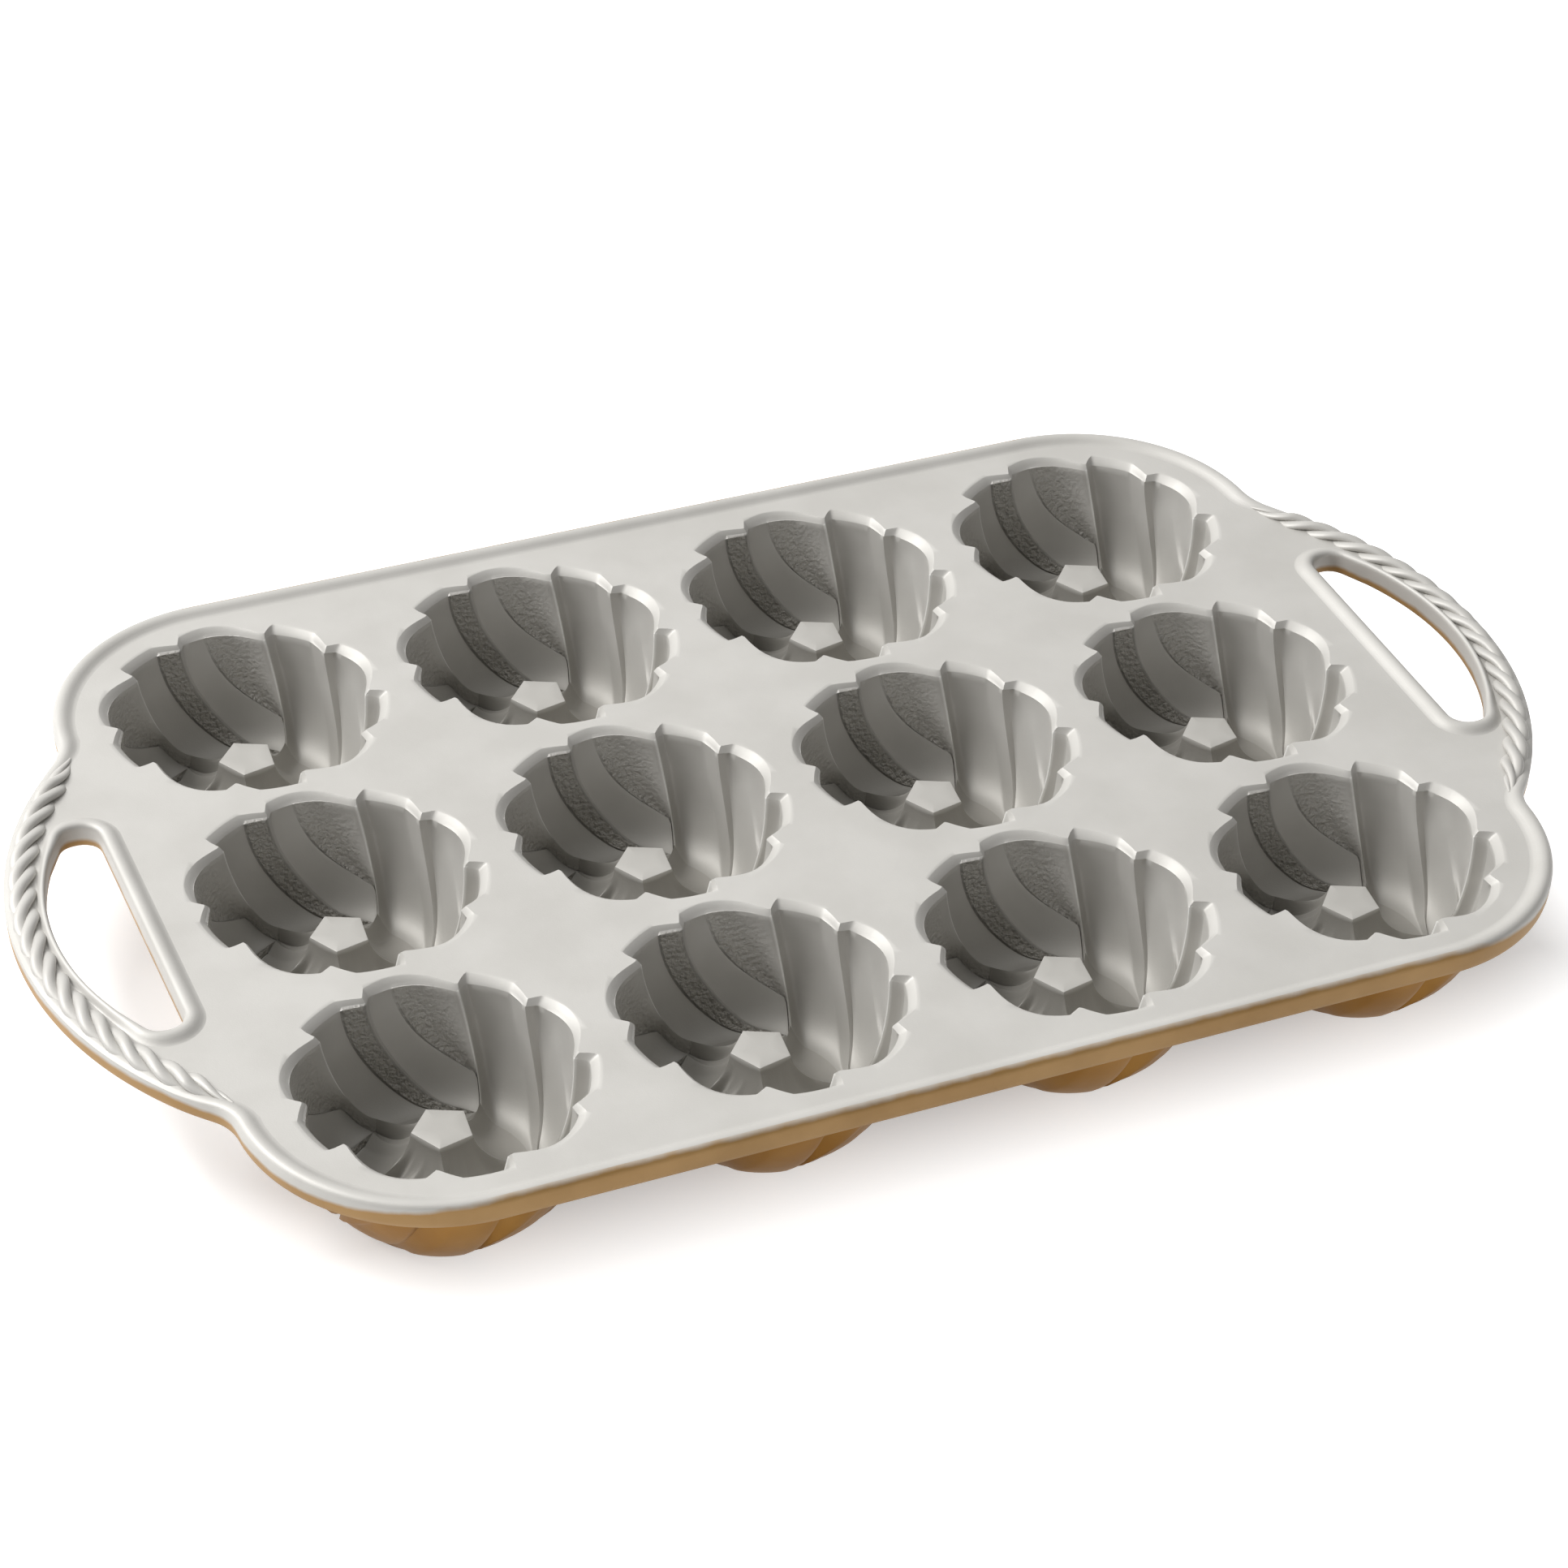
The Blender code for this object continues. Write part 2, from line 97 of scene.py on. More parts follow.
def turned_blank(ring_count, column_count, is_ring):
    """A blank, with the ring number and the column number of each of its points."""
    blank = bmesh.new()
    ring_of = blank.verts.layers.int.new("ring")
    section = []
    for ring in range(ring_count):
        turn = 2 * math.pi * ring / ring_count if is_ring else math.pi * ring / (ring_count - 1)
        away = 3 + math.sin(turn) if is_ring else abs(math.sin(turn))
        if not is_ring and ring in (0, ring_count - 1):
            away = 0
        section.append(blank.verts.new((away, 0, math.cos(turn))))
        section[-1][ring_of] = ring
    edges = [blank.edges.new(pair) for pair in zip(section, section[1:])]
    if is_ring:
        edges.append(blank.edges.new((section[-1], section[0])))
    bmesh.ops.spin(blank, geom=section + edges, cent=(0, 0, 0), axis=(0, 0, 1),
                   angle=2 * math.pi, steps=column_count, use_merge=True)
    bmesh.ops.remove_doubles(blank, verts=blank.verts, dist=MERGE)
    rings = [vert[ring_of] for vert in blank.verts]
    step = 2 * math.pi / column_count
    columns = [round(math.atan2(v.co.y, v.co.x) / step) % column_count for v in blank.verts]
    return blank, np.array(rings), np.array(columns)


def right_way_out(body):
    """Reverses all faces of a closed body that is inside out."""
    if body.calc_volume(signed=True) < 0:
        bmesh.ops.reverse_faces(body, faces=body.faces)


def face_outwards(body):
    """Turns all faces of a closed body outwards."""
    bmesh.ops.recalc_face_normals(body, faces=body.faces)
    right_way_out(body)


def press(blank, points):
    """Moves the points of a blank to their places and turns its faces outwards."""
    for vert, point in zip(blank.verts, points.tolist()):
        vert.co = point
    face_outwards(blank)


def to_mesh(name, body, sharp_above=40):
    """The finished mesh, smooth except at edges sharper than the angle in degrees."""
    mesh = bpy.data.meshes.new(name)
    body.to_mesh(mesh)
    body.free()
    mesh.shade_smooth()
    mesh.set_sharp_from_angle(angle=math.radians(sharp_above))
    return mesh


def mark(mesh, name, values):
    """Stores a number at each point of a mesh, as an attribute that its material reads."""
    attribute = mesh.attributes.new(name, "FLOAT", "POINT")
    attribute.data.foreach_set("value", values.astype(np.float32))


def eased(share):
    """A share from 0 to 1 that starts and ends gently."""
    return share**2 * (3 - 2 * share)


def add_piece(name, mesh, materials, slot, *nodes):
    """A visible piece, riding on the pan and standing for CAD nodes."""
    for material in materials:
        mesh.materials.append(material)
    piece = bpy.data.objects.new(name, mesh)
    bpy.context.scene.collection.objects.link(piece)
    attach(piece, "root")
    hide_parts(*nodes)


print("helpers ready for meshes and pieces")

# %% [markdown]
# The two coatings. The top of the pan is a pearl-grey non-stick coating on a cast skin: satin, very
# finely grained, with slow changes of tone of a few per cent. The outside is a warm gold-tan baked
# coating. Both are only partly metallic: a full metal would turn black wherever it reflects a dark
# room, and the real coatings hold pigment that always gives back some light of its own colour. The
# grain is noise on Object coordinates, so it stays at its real size on every piece. An image would
# be the other way, but it needs an unwrapped surface and stretches in the flutes.

# %% Helpers for materials
def attribute(nodes, name):
    """The number that mark() stored under a name, or 0 on a piece without it."""
    node = nodes.new("ShaderNodeAttribute")
    node.attribute_name = name
    return node.outputs["Fac"]


def noise(nodes, links, place, scale, detail=3):
    """A noise texture on the object's own coordinates, scale in features per metre."""
    texture = nodes.new("ShaderNodeTexNoise")
    texture.inputs["Scale"].default_value = scale
    texture.inputs["Detail"].default_value = detail
    links.new(place, texture.inputs["Vector"])
    return texture.outputs["Fac"]


def ramp(nodes, links, factor, stops):
    """A colour ramp with stops given as (position, colour)."""
    node = nodes.new("ShaderNodeValToRGB")
    elements = node.color_ramp.elements
    while len(elements) < len(stops):
        elements.new(0.5)
    for element, (position, colour) in zip(elements, stops):
        element.position = position
        element.color = (*colour, 1)
    links.new(factor, node.inputs["Fac"])
    return node.outputs["Color"]


def mixed(nodes, links, factor, first, second, blend="MIX"):
    """A mix of two colours. The second is a socket, or three numbers."""
    node = nodes.new("ShaderNodeMix")
    node.data_type = "RGBA"
    node.blend_type = blend
    links.new(factor, node.inputs["Factor"])
    links.new(first, node.inputs["A"])
    if isinstance(second, tuple):
        node.inputs["B"].default_value = (*second, 1)
    else:
        links.new(second, node.inputs["B"])
    return node.outputs["Result"]


def math_node(nodes, links, operation, *values):
    """The result of a math node. Each value is a socket or a number."""
    node = nodes.new("ShaderNodeMath")
    node.operation = operation
    for value, socket in zip(values, node.inputs):
        if isinstance(value, float):
            socket.default_value = value
        else:
            links.new(value, socket)
    return node.outputs["Value"]


def ranged(nodes, links, value, start, end, to_start=0.0, to_end=1.0):
    """A value carried from one range to another, and held at its ends."""
    node = nodes.new("ShaderNodeMapRange")
    links.new(value, node.inputs["Value"])
    ends = {"From Min": start, "From Max": end, "To Min": to_start, "To Max": to_end}
    for socket, number in ends.items():
        node.inputs[socket].default_value = number
    return node.outputs["Result"]


def bump(nodes, links, height, strength, distance, below=None):
    """A bump node, stacked on the normal of another one if given."""
    node = nodes.new("ShaderNodeBump")
    node.inputs["Strength"].default_value = strength
    node.inputs["Distance"].default_value = distance
    links.new(height, node.inputs["Height"])
    if below is not None:
        links.new(below, node.inputs["Normal"])
    return node.outputs["Normal"]


print("helpers ready for materials")

# %% [markdown]
# A coating mixes its colour in four steps. Noise moves it slowly between a dark and a light tone.
# Then three float attributes of the mesh come in: low darkens the coating deep in a bowl and on the
# sides of a post as painted shade, rough darkens the facets whose cast skin is coarse as painted
# shade and gives them pits, and crest brightens the main creases as a painted highlight. Painting
# such marks by hand would also do, but numbers at the points follow the flutes exactly. Constants
# go straight onto the shader.

# %% Coatings
TONE_SCALE, SHEEN_SCALE, GRAIN_SCALE, SKIN_SCALE, PIT_SCALE = 45, 220, 2600, 420, 850
TONE_STOPS = (0.35, 0.65)
# Painted shade low in a bowl and on coarse facets, and a painted highlight on the main creases.
LOW_PAINTED_SHADE, ROUGH_PAINTED_SHADE, CREST_HIGHLIGHT_TONE = (0.56, 0.55, 0.53), (0.86, 0.85, 0.83), (0.86, 0.85, 0.82)
SHEEN_DRIFT = 0.04
GRAIN, SKIN, PITS = (0.35, 0.00006), (0.25, 0.00012), (1.0, 0.0016)


def slow_tone(nodes, links, place, tones):
    """A colour that wanders between a dark and a light tone."""
    return ramp(nodes, links, noise(nodes, links, place, TONE_SCALE), tuple(zip(TONE_STOPS, tones)))


def coating(name, tones, roughness, metallic, specular=0.5):
    """A baked coating on cast metal, with its slow tone and its coordinates."""
    material = bpy.data.materials.new(name)
    material.use_nodes = True
    nodes, links = material.node_tree.nodes, material.node_tree.links
    shader = nodes["Principled BSDF"]
    place = nodes.new("ShaderNodeTexCoord").outputs["Object"]
    tone = slow_tone(nodes, links, place, tones)
    rough_and_shade = attribute(nodes, "rough_and_shade")
    # Painted shade, darker deep in a bowl and on the sides and top of a post.
    colour = mixed(nodes, links, attribute(nodes, "low"), tone, LOW_PAINTED_SHADE, "MULTIPLY")
    # Painted shade on the coarse facets and scoops, which also get pits below.
    colour = mixed(nodes, links, rough_and_shade, colour, ROUGH_PAINTED_SHADE, "MULTIPLY")
    # Painted highlight along the main creases.
    colour = mixed(nodes, links, attribute(nodes, "crest"), colour, CREST_HIGHLIGHT_TONE)
    links.new(colour, shader.inputs["Base Color"])
    sheen = ranged(nodes, links, noise(nodes, links, place, SHEEN_SCALE), 0.0, 1.0,
                   roughness - SHEEN_DRIFT, roughness + SHEEN_DRIFT)
    links.new(sheen, shader.inputs["Roughness"])
    shader.inputs["Metallic"].default_value = metallic
    shader.inputs["Specular IOR Level"].default_value = specular
    grain = bump(nodes, links, noise(nodes, links, place, GRAIN_SCALE, 2), *GRAIN)
    skin = bump(nodes, links, noise(nodes, links, place, SKIN_SCALE, 2), *SKIN, grain)
    coarse = math_node(nodes, links, "MULTIPLY", rough_and_shade, noise(nodes, links, place, PIT_SCALE, 2))
    links.new(bump(nodes, links, coarse, *PITS, skin), shader.inputs["Normal"])
    return material, tone, place


# Each coating has a dark and a light tone. The outside of the cups is painted a deeper, darker gold
# than the edge, as painted shade under the rim.
PEARL = ((0.500, 0.486, 0.456), (0.542, 0.528, 0.498))
TAN = ((0.320, 0.180, 0.054), (0.390, 0.228, 0.078))
SHADOWED_TAN = ((0.270, 0.128, 0.023), (0.335, 0.170, 0.037))
SILVER_ROUGHNESS, SILVER_METALLIC = 0.53, 0.25
GOLD_ROUGHNESS, GOLD_METALLIC, GOLD_SPECULAR = 0.46, 0.50, 0.2
silver = coating("silver_nonstick", PEARL, SILVER_ROUGHNESS, SILVER_METALLIC)[0]
# The cups take the darker gold, which is painted shade.
gold = coating("gold_exterior", SHADOWED_TAN, GOLD_ROUGHNESS, GOLD_METALLIC, GOLD_SPECULAR)[0]
print("coatings:", silver.name, gold.name)

# %% [markdown]
# On the rim and the handles both coatings meet on the outer edge. The pearl grey is sprayed from
# above and the gold from below, so the line between them is a little ragged and the two mist over
# each other along it. It runs low on the edge of the handles and climbs around the corners, almost
# to the top of the rim on the long sides. Two materials with a seam between their faces would make
# the line too clean, so one material mixes both by height. A float attribute called lift says how
# far the line has climbed at each point.

# %% Edge coating
LINE_LOWEST = DECK - 0.0021
LINE_WOBBLE, LINE_MIST, LINE_SCALE = 0.0012, 0.0012, 160


def edge_coating(name):
    """Pearl grey above the line and gold below it."""
    material, silver_tone, place = coating(name, PEARL, SILVER_ROUGHNESS, SILVER_METALLIC)
    nodes, links = material.node_tree.nodes, material.node_tree.links
    height = nodes.new("ShaderNodeSeparateXYZ")
    links.new(place, height.inputs["Vector"])
    above = math_node(nodes, links, "SUBTRACT", height.outputs["Z"], attribute(nodes, "lift"))
    ragged = noise(nodes, links, place, LINE_SCALE, 5)
    ragged = math_node(nodes, links, "MULTIPLY_ADD", ragged, LINE_WOBBLE, above)
    share = ranged(nodes, links, ragged, LINE_LOWEST, LINE_LOWEST + LINE_MIST)
    mist = mixed(nodes, links, share, slow_tone(nodes, links, place, TAN), silver_tone)
    links.new(mist, nodes["Principled BSDF"].inputs["Base Color"])
    return material


two_tone = edge_coating("edge_two_tone")
print("edge coating:", two_tone.name)

# %% [markdown]
# The flutes. Five main creases run from the mouth over the floor to the corners of the post. Seen
# from above and going clockwise, each is followed by a steep step down into a narrow flute, a
# falling facet, a low crease with a small ledge, a smooth wide band, and a scoop that rises to the
# next main crease. These lines are given as angles past the main crease and as depths from 0 on the
# crease to 1 in the flute. Both change on the way down, because the low creases swirl further than
# the main ones. Carving this with booleans would leave ragged edges, and sculpting wouldn't repeat.

# %% Lines of the flutes
REPEATS, REPEAT_ANGLE = 5, 72
TWIST = 17
RUN_STEPS = (5, 9, 6, 3, 9, 11)
LOW_START, LOW_SWIRL, LOW_HOOK = 31, 37, 18
STEP_START, STEP_GROWTH = 2.5, 9
FALL_RUN = 10
VALLEY_START, VALLEY_SWIRL = 44, 27
LEDGE_DEPTH, SCOOP_FOOT, SCOOP_MIDDLE = 0.76, 0.93, 0.46


def through(places, depths, t):
    """The smooth curve through a few points, at t."""
    total = 0
    for i, a in enumerate(places):
        weight = 1
        for j, b in enumerate(places):
            if i != j:
                weight = weight * (t - b) / (a - b)
        total = total + weight * depths[i]
    return total


def flute_section(share):
    """Angles in degrees past a main crease, and depths, of the columns of one repeat.

    share is 0 at the mouth and 1 at the circle of the floor.
    """
    low = LOW_START + LOW_SWIRL * share**1.7 + LOW_HOOK * share**20 - TWIST * share
    low_depth = np.interp(share, (0, 0.45, 0.6, 0.75, 0.9), (0.15, 0.30, 0.45, 0.60, 0.65))
    step = STEP_START + STEP_GROWTH * share**2.8
    step_depth = np.interp(share, (0, 1), (0.92, 1))
    trough_depth = np.interp(share, (0, 0.4), (0.88, 1))
    fall_depth = np.interp(share, (0, 0.5, 1), (0.85, 0.94, 1))
    ledge = low + np.interp(share, (0, 0.3), (3.0, 2.2))
    valley = max(VALLEY_START + VALLEY_SWIRL * min(1, share / 0.6) ** 3, ledge + 0.3)
    bench = np.interp(share, (0, 0.08, 0.22), (1, 0.95, 0.74))
    runs = (
        (0, step, (0, 0.5, 1), (0, 0.75 * step_depth, step_depth)),
        (step, low - FALL_RUN, (0, 0.5, 1), (step_depth, trough_depth, fall_depth)),
        (low - FALL_RUN, low, (0, 1), (fall_depth, low_depth)),
        (low, ledge, (0, 1), (low_depth, LEDGE_DEPTH)),
        (ledge, valley, (0, 0.5, 1), (LEDGE_DEPTH, (0.82 + bench) / 2, bench)),
        (valley, REPEAT_ANGLE, (0, 0.12, 0.30, 0.68, 1),
         (bench, (1 + bench) / 2, SCOOP_FOOT, SCOOP_MIDDLE, 0)),
    )
    angles, depths = [], []
    for (start, end, places, values), steps in zip(runs, RUN_STEPS):
        even = np.arange(steps) / steps
        t = 0.4 * even + 0.6 * (1 - np.cos(math.pi * even)) / 2
        angles.append(start + (end - start) * t)
        depths.append(through(places, values, t))
    return np.concatenate(angles), np.concatenate(depths)


def soften(depths, passes):
    """Rounds the creases of a section by averaging each column with its neighbours."""
    for _ in range(passes):
        depths = (np.roll(depths, 1) + 2 * depths + np.roll(depths, -1)) / 4
    return depths


PER_REPEAT = sum(RUN_STEPS)
COLUMNS = REPEATS * PER_REPEAT
print("columns of points around a cup:", COLUMNS)

# %% [markdown]
# A section is laid around the cup by turning it once for each repeat. Its distance from the middle
# and its height are mixed from two curves: one for the main crease and one for the bottom of the
# flutes. On the wall both curves are quarter ellipses, down to the circle of the floor, and on the
# post they are quarter ellipses up to its flat five-sided top. The whole figure twists clockwise on
# the way, 17 degrees from mouth to floor and 17 more to the top of the post. A Screw or Twist
# modifier would turn every line alike, but here the low creases swirl further than the main ones.

# %% Rings of a cup, in millimetres from the middle of the cup and from the deck
FIRST_CREASE = 64
MOUTH, WALL, FLOOR, DEPTH = 38.5, 36.2, 22.2, 32.8
MOUTH_RIDGE, WALL_RIDGE, FLOOR_RIDGE = 5.3, 4.2, 5.8
LIP, LIP_HOLLOW = 1.9, 0.32
POST, POST_DROP = 7.9, 17.2
SEAT = 38.8
METAL, DECK_METAL = 2.8, 3.5
LIP_SHARE = math.asin(LIP / DEPTH) / (math.pi / 2)
FLAT = math.cos(math.pi / REPEATS)


def lay_ring(share, angles, depths, crease, flute):
    """Points of one ring. crease and flute are its (radius, height) at depth 0 and at depth 1."""
    radius = crease[0] + (flute[0] - crease[0]) * depths
    height = crease[1] + (flute[1] - crease[1]) * depths
    points = []
    for repeat in range(REPEATS):
        turn = np.radians(FIRST_CREASE - angles - repeat * REPEAT_ANGLE - TWIST * share)
        points.append(np.stack((radius * np.cos(turn), radius * np.sin(turn), height), axis=1))
    return np.concatenate(points)


def wall_ring(share, metal=0.0, passes=1):
    """A ring of the bowl, inside it or a wall thickness outside it."""
    angles, depths = flute_section(share)
    turn = share * math.pi / 2
    reach = WALL + metal - FLOOR
    crease = (
        FLOOR + (reach - WALL_RIDGE) * math.cos(turn),
        -(DEPTH + metal - FLOOR_RIDGE) * math.sin(turn),
    )
    flute = (FLOOR + reach * math.cos(turn), -(DEPTH + metal) * math.sin(turn))
    return lay_ring(share, angles, soften(depths, passes), crease, flute)


def lip_ring(around):
    """A ring of the bevelled lip: around is 0 where the wall ends and 1 on the deck."""
    angles, depths = flute_section(0)
    start = LIP_SHARE * math.pi / 2
    drop = 1 - around + LIP_HOLLOW * around * (around - 1)
    crease_start = FLOOR + (WALL - FLOOR - WALL_RIDGE) * math.cos(start)
    flute_start = FLOOR + (WALL - FLOOR) * math.cos(start)
    crease = (
        crease_start + (MOUTH - MOUTH_RIDGE - crease_start) * around,
        -(DEPTH - FLOOR_RIDGE) * math.sin(start) * drop,
    )
    flute = (flute_start + (MOUTH - flute_start) * around, -LIP * drop)
    return lay_ring(LIP_SHARE * drop, angles, soften(depths, 1), crease, flute)


def post_section(share):
    """The columns between two corners of the post: the floor's section at 1, a polygon at 2."""
    angles, depths = flute_section(1)
    rise = share - 1
    even = np.arange(PER_REPEAT) / PER_REPEAT * REPEAT_ANGLE
    angles = angles + (even - angles) * min(1, rise * 1.2)
    polygon = (1 - FLAT / np.cos(np.radians(angles - REPEAT_ANGLE / 2))) / (1 - FLAT)
    blend = eased(np.clip((rise - 0.2) / 0.7, 0, 1))
    return angles, soften(depths, 1) * (1 - blend) + polygon * blend


def post_ring(share, shrink=0.0, drop=0.0):
    """A ring of the post, or of its rounded top edge if it shrinks and drops."""
    angles, depths = post_section(share)
    turn = (share - 1) * math.pi / 2
    low = POST_DROP + (DEPTH - POST_DROP) * math.cos(turn)
    crease_low = POST_DROP + (DEPTH - FLOOR_RIDGE - POST_DROP) * math.cos(turn)
    crease = (FLOOR - (FLOOR - POST) * math.sin(turn) - shrink, -crease_low - drop)
    flute = (FLOOR - (FLOOR - POST * FLAT) * math.sin(turn) - shrink, -low - drop)
    return lay_ring(share, angles, depths, crease, flute)


def round_ring(share, radius, height):
    """A ring without flutes, turned as the fluted rings beside it."""
    angles, depths = flute_section(share) if share <= 1 else post_section(share)
    return lay_ring(share, angles, depths, (radius, height), (radius, height))


print("a cup is", DEPTH, "mm deep and", 2 * MOUTH, "mm across its mouth")

# %% [markdown]
# A cup is made together with its bay of the deck, so that the bevelled lip flows into the flat deck
# with no seam. Joining a separate bowl to a flat plate would leave a crease there. The list of
# rings starts at the middle of the post's top, goes down the post, across the floor, up the wall,
# over the lip and out across the deck, then back underneath, down the outside of the bowl, around
# the foot that it stands on and up the hollow inside the post. The rings lie closer where the shape
# turns faster.

# %% One cup with its bay
TOP_EDGE = ((4.0, 0.0), (0.45, 0.0), (0.13, 0.10), (0.0, 0.40))
POST_SHARES = (
    0.93, 0.86, 0.78, 0.70, 0.62, 0.54, 0.46, 0.38, 0.31, 0.24, 0.18, 0.12, 0.07, 0.03, 0.01,
)
FLOOR_SHARES = (1, 0.99, 0.975, 0.96, 0.94, 0.92, 0.89, 0.86, 0.82, 0.78, 0.73)
WALL_START, WALL_RINGS = 0.68, 16
LIP_STEPS = (0.06, 0.3, 0.55, 0.8, 0.93, 1)
OUTER_SHARES = (0.075, 0.11, 0.16, 0.23, 0.31, 0.39, 0.47, 0.55, 0.63, 0.71, 0.78)
OUTER_SOFTENING = 5
FOOT = ((0.90, 2.8, 0.15), (0.93, 2.3, 0), (1, -2.1, 0), (1, -2.6, 0.25))
HOLLOW_SHARES, HOLLOW_EDGE = (0.15, 0.35, 0.55, 0.75, 0.9, 1), 2.9


def cup_rings():
    """Places of a cup's points in millimetres, ring by ring, and the number of silver rings."""
    rings = [round_ring(2, 0, -POST_DROP)]
    rings += [post_ring(2, shrink, drop) for shrink, drop in TOP_EDGE]
    rings += [post_ring(1 + rise) for rise in POST_SHARES]
    rings += [wall_ring(share) for share in FLOOR_SHARES]
    rings += [wall_ring(share) for share in np.linspace(WALL_START, LIP_SHARE, WALL_RINGS)]
    rings += [lip_ring(around) for around in LIP_STEPS]
    rings.append(round_ring(0, SEAT, 0))
    silver_rings = len(rings) + 1
    rings += [round_ring(0, SEAT, height) for height in (0, -DECK_METAL, -DECK_METAL)]
    rings += [wall_ring(share, METAL, OUTER_SOFTENING) for share in OUTER_SHARES]
    lowest = -DEPTH - METAL
    turning = round_ring(0.85, FLOOR + 3.6, lowest + 0.9)
    rings.append((wall_ring(0.85, METAL, OUTER_SOFTENING) + turning) / 2)
    rings += [round_ring(share, FLOOR + out, lowest + up) for share, out, up in FOOT]
    for rise in HOLLOW_SHARES:
        turn = rise * math.pi / 2
        start = FLOOR - HOLLOW_EDGE
        radius = start - (start - (POST - METAL)) * math.sin(turn)
        height = lowest + 1 + (DEPTH - POST_DROP - 1) * (1 - math.cos(turn))
        rings.append(round_ring(1 + rise, radius, height))
    rings.append(round_ring(2, 0, lowest + DEPTH - POST_DROP))
    return np.stack(rings), silver_rings


cup_places, SILVER_RINGS = cup_rings()
LAST_TOP_RING = len(TOP_EDGE)
FIRST_WALL_RING = LAST_TOP_RING + len(POST_SHARES) + 1
LIP_RINGS = len(LIP_STEPS) + 1
cup_blank, ring_numbers, column_numbers = turned_blank(len(cup_places), COLUMNS, False)
print("rings and points of a cup:", len(cup_places), len(ring_numbers))

# %% [markdown]
# The bays tile the deck: each point of the bay's outer ring slides straight outwards to the edge of
# its bay, and the nearest one goes into each square corner. A corner bay ends in the pan's round
# corner instead. Cutting twelve round holes into one plate would be the other way, but then the
# rings could not run on from the lip to the deck. Underneath, the first rings of the bowl spread a
# little, as the fillet that every casting has where a wall meets a plate.

# %% Edges of the bays
ROWS, BAY_COLUMNS = 3, 4
INNER_CORNER = CORNER - RIM
TINY = 1e-9
FILLET = ((0.0045, 0.6), (0.0024, 0.4), (0.0013, 0.3), (0.0005, 0.2))


def bay_edge(row, column, ring):
    """The points of a ring, moved outwards from the cup's middle to the edge of its bay."""
    middle = np.array(((column - 1.5) * COLUMN_PITCH, (row - 1) * ROW_PITCH))
    low = np.array((-COLUMN_PITCH / 2, -ROW_PITCH / 2)) + middle
    high = np.array((COLUMN_PITCH / 2, ROW_PITCH / 2)) + middle
    if column == 0:
        low[0] = RIM - HALF_LENGTH
    if column == BAY_COLUMNS - 1:
        high[0] = HALF_LENGTH - RIM
    if row == 0:
        low[1] = RIM - HALF_WIDTH
    if row == ROWS - 1:
        high[1] = HALF_WIDTH - RIM
    ways = ring[:, :2] / np.linalg.norm(ring[:, :2], axis=1)[:, None]
    limits = np.where(ways > 0, high - middle, middle - low) / np.maximum(np.abs(ways), TINY)
    places = middle + ways * limits.min(axis=1)[:, None]
    for corner_x, end in ((low[0], column == 0), (high[0], column == BAY_COLUMNS - 1)):
        for corner_y, side in ((low[1], row == 0), (high[1], row == ROWS - 1)):
            corner = np.array((corner_x, corner_y))
            if not (end and side):
                places[np.argmin(np.linalg.norm(places - corner, axis=1))] = corner
                continue
            centre = corner - np.sign(corner) * INNER_CORNER
            beyond = ((places - centre) * np.sign(corner) > 0).all(axis=1)
            off = middle - centre
            along = (ways * off).sum(axis=1)
            reach = -along + np.sqrt(np.maximum(0, along**2 - (off**2).sum() + INNER_CORNER**2))
            places[beyond] = (middle + ways * reach[:, None])[beyond]
    return middle, places


def bay_points(row, column):
    """All points of one cup and its bay, in metres."""
    places = cup_places * MM
    places[:, :, 2] += DECK
    middle, edge = bay_edge(row, column, places[SILVER_RINGS - 1])
    places[:, :, :2] += middle
    for ring in (SILVER_RINGS - 1, SILVER_RINGS):
        places[ring, :, :2] = edge
    wall = places[SILVER_RINGS + 2, :, :2].copy()
    for step, (reach, most) in enumerate(FILLET):
        ring = places[SILVER_RINGS + 1 + step]
        start = wall if step == 0 else ring[:, :2]
        gap = edge - start
        share = np.minimum(most, reach / np.maximum(np.linalg.norm(gap, axis=1), TINY))
        ring[:, :2] = start + gap * share[:, None]
    return places[ring_numbers, column_numbers]


print("bays of the deck:", ROWS * BAY_COLUMNS)

# %% [markdown]
# The marks of casting, and painted light and shade. On two of the five repeats the metal filled the
# mould last, and the skin is coarse there on a facet and in a scoop; both are also darkened as
# painted shade. The main creases get a painted highlight, and the coating is darkened deep in the
# bowl and on the post as painted shade. Each mark is a number from 0 to 1 at every point, found
# from the ring and the column that the point belongs to. A mask made of noise would be easier, but
# it would not stop at the creases.

# %% Marks on a cup
FIRST_COARSE_REPEAT = 3
SCOOP_FADE, LIP_FADE = 10, 7
# The strength of the painted highlight on the main creases.
CREST_HIGHLIGHT = 0.8
LOW_DEEPEST, LOW_FROM, LOW_OVER, TOP_LOW = 0.8, 13, 15, 0.3


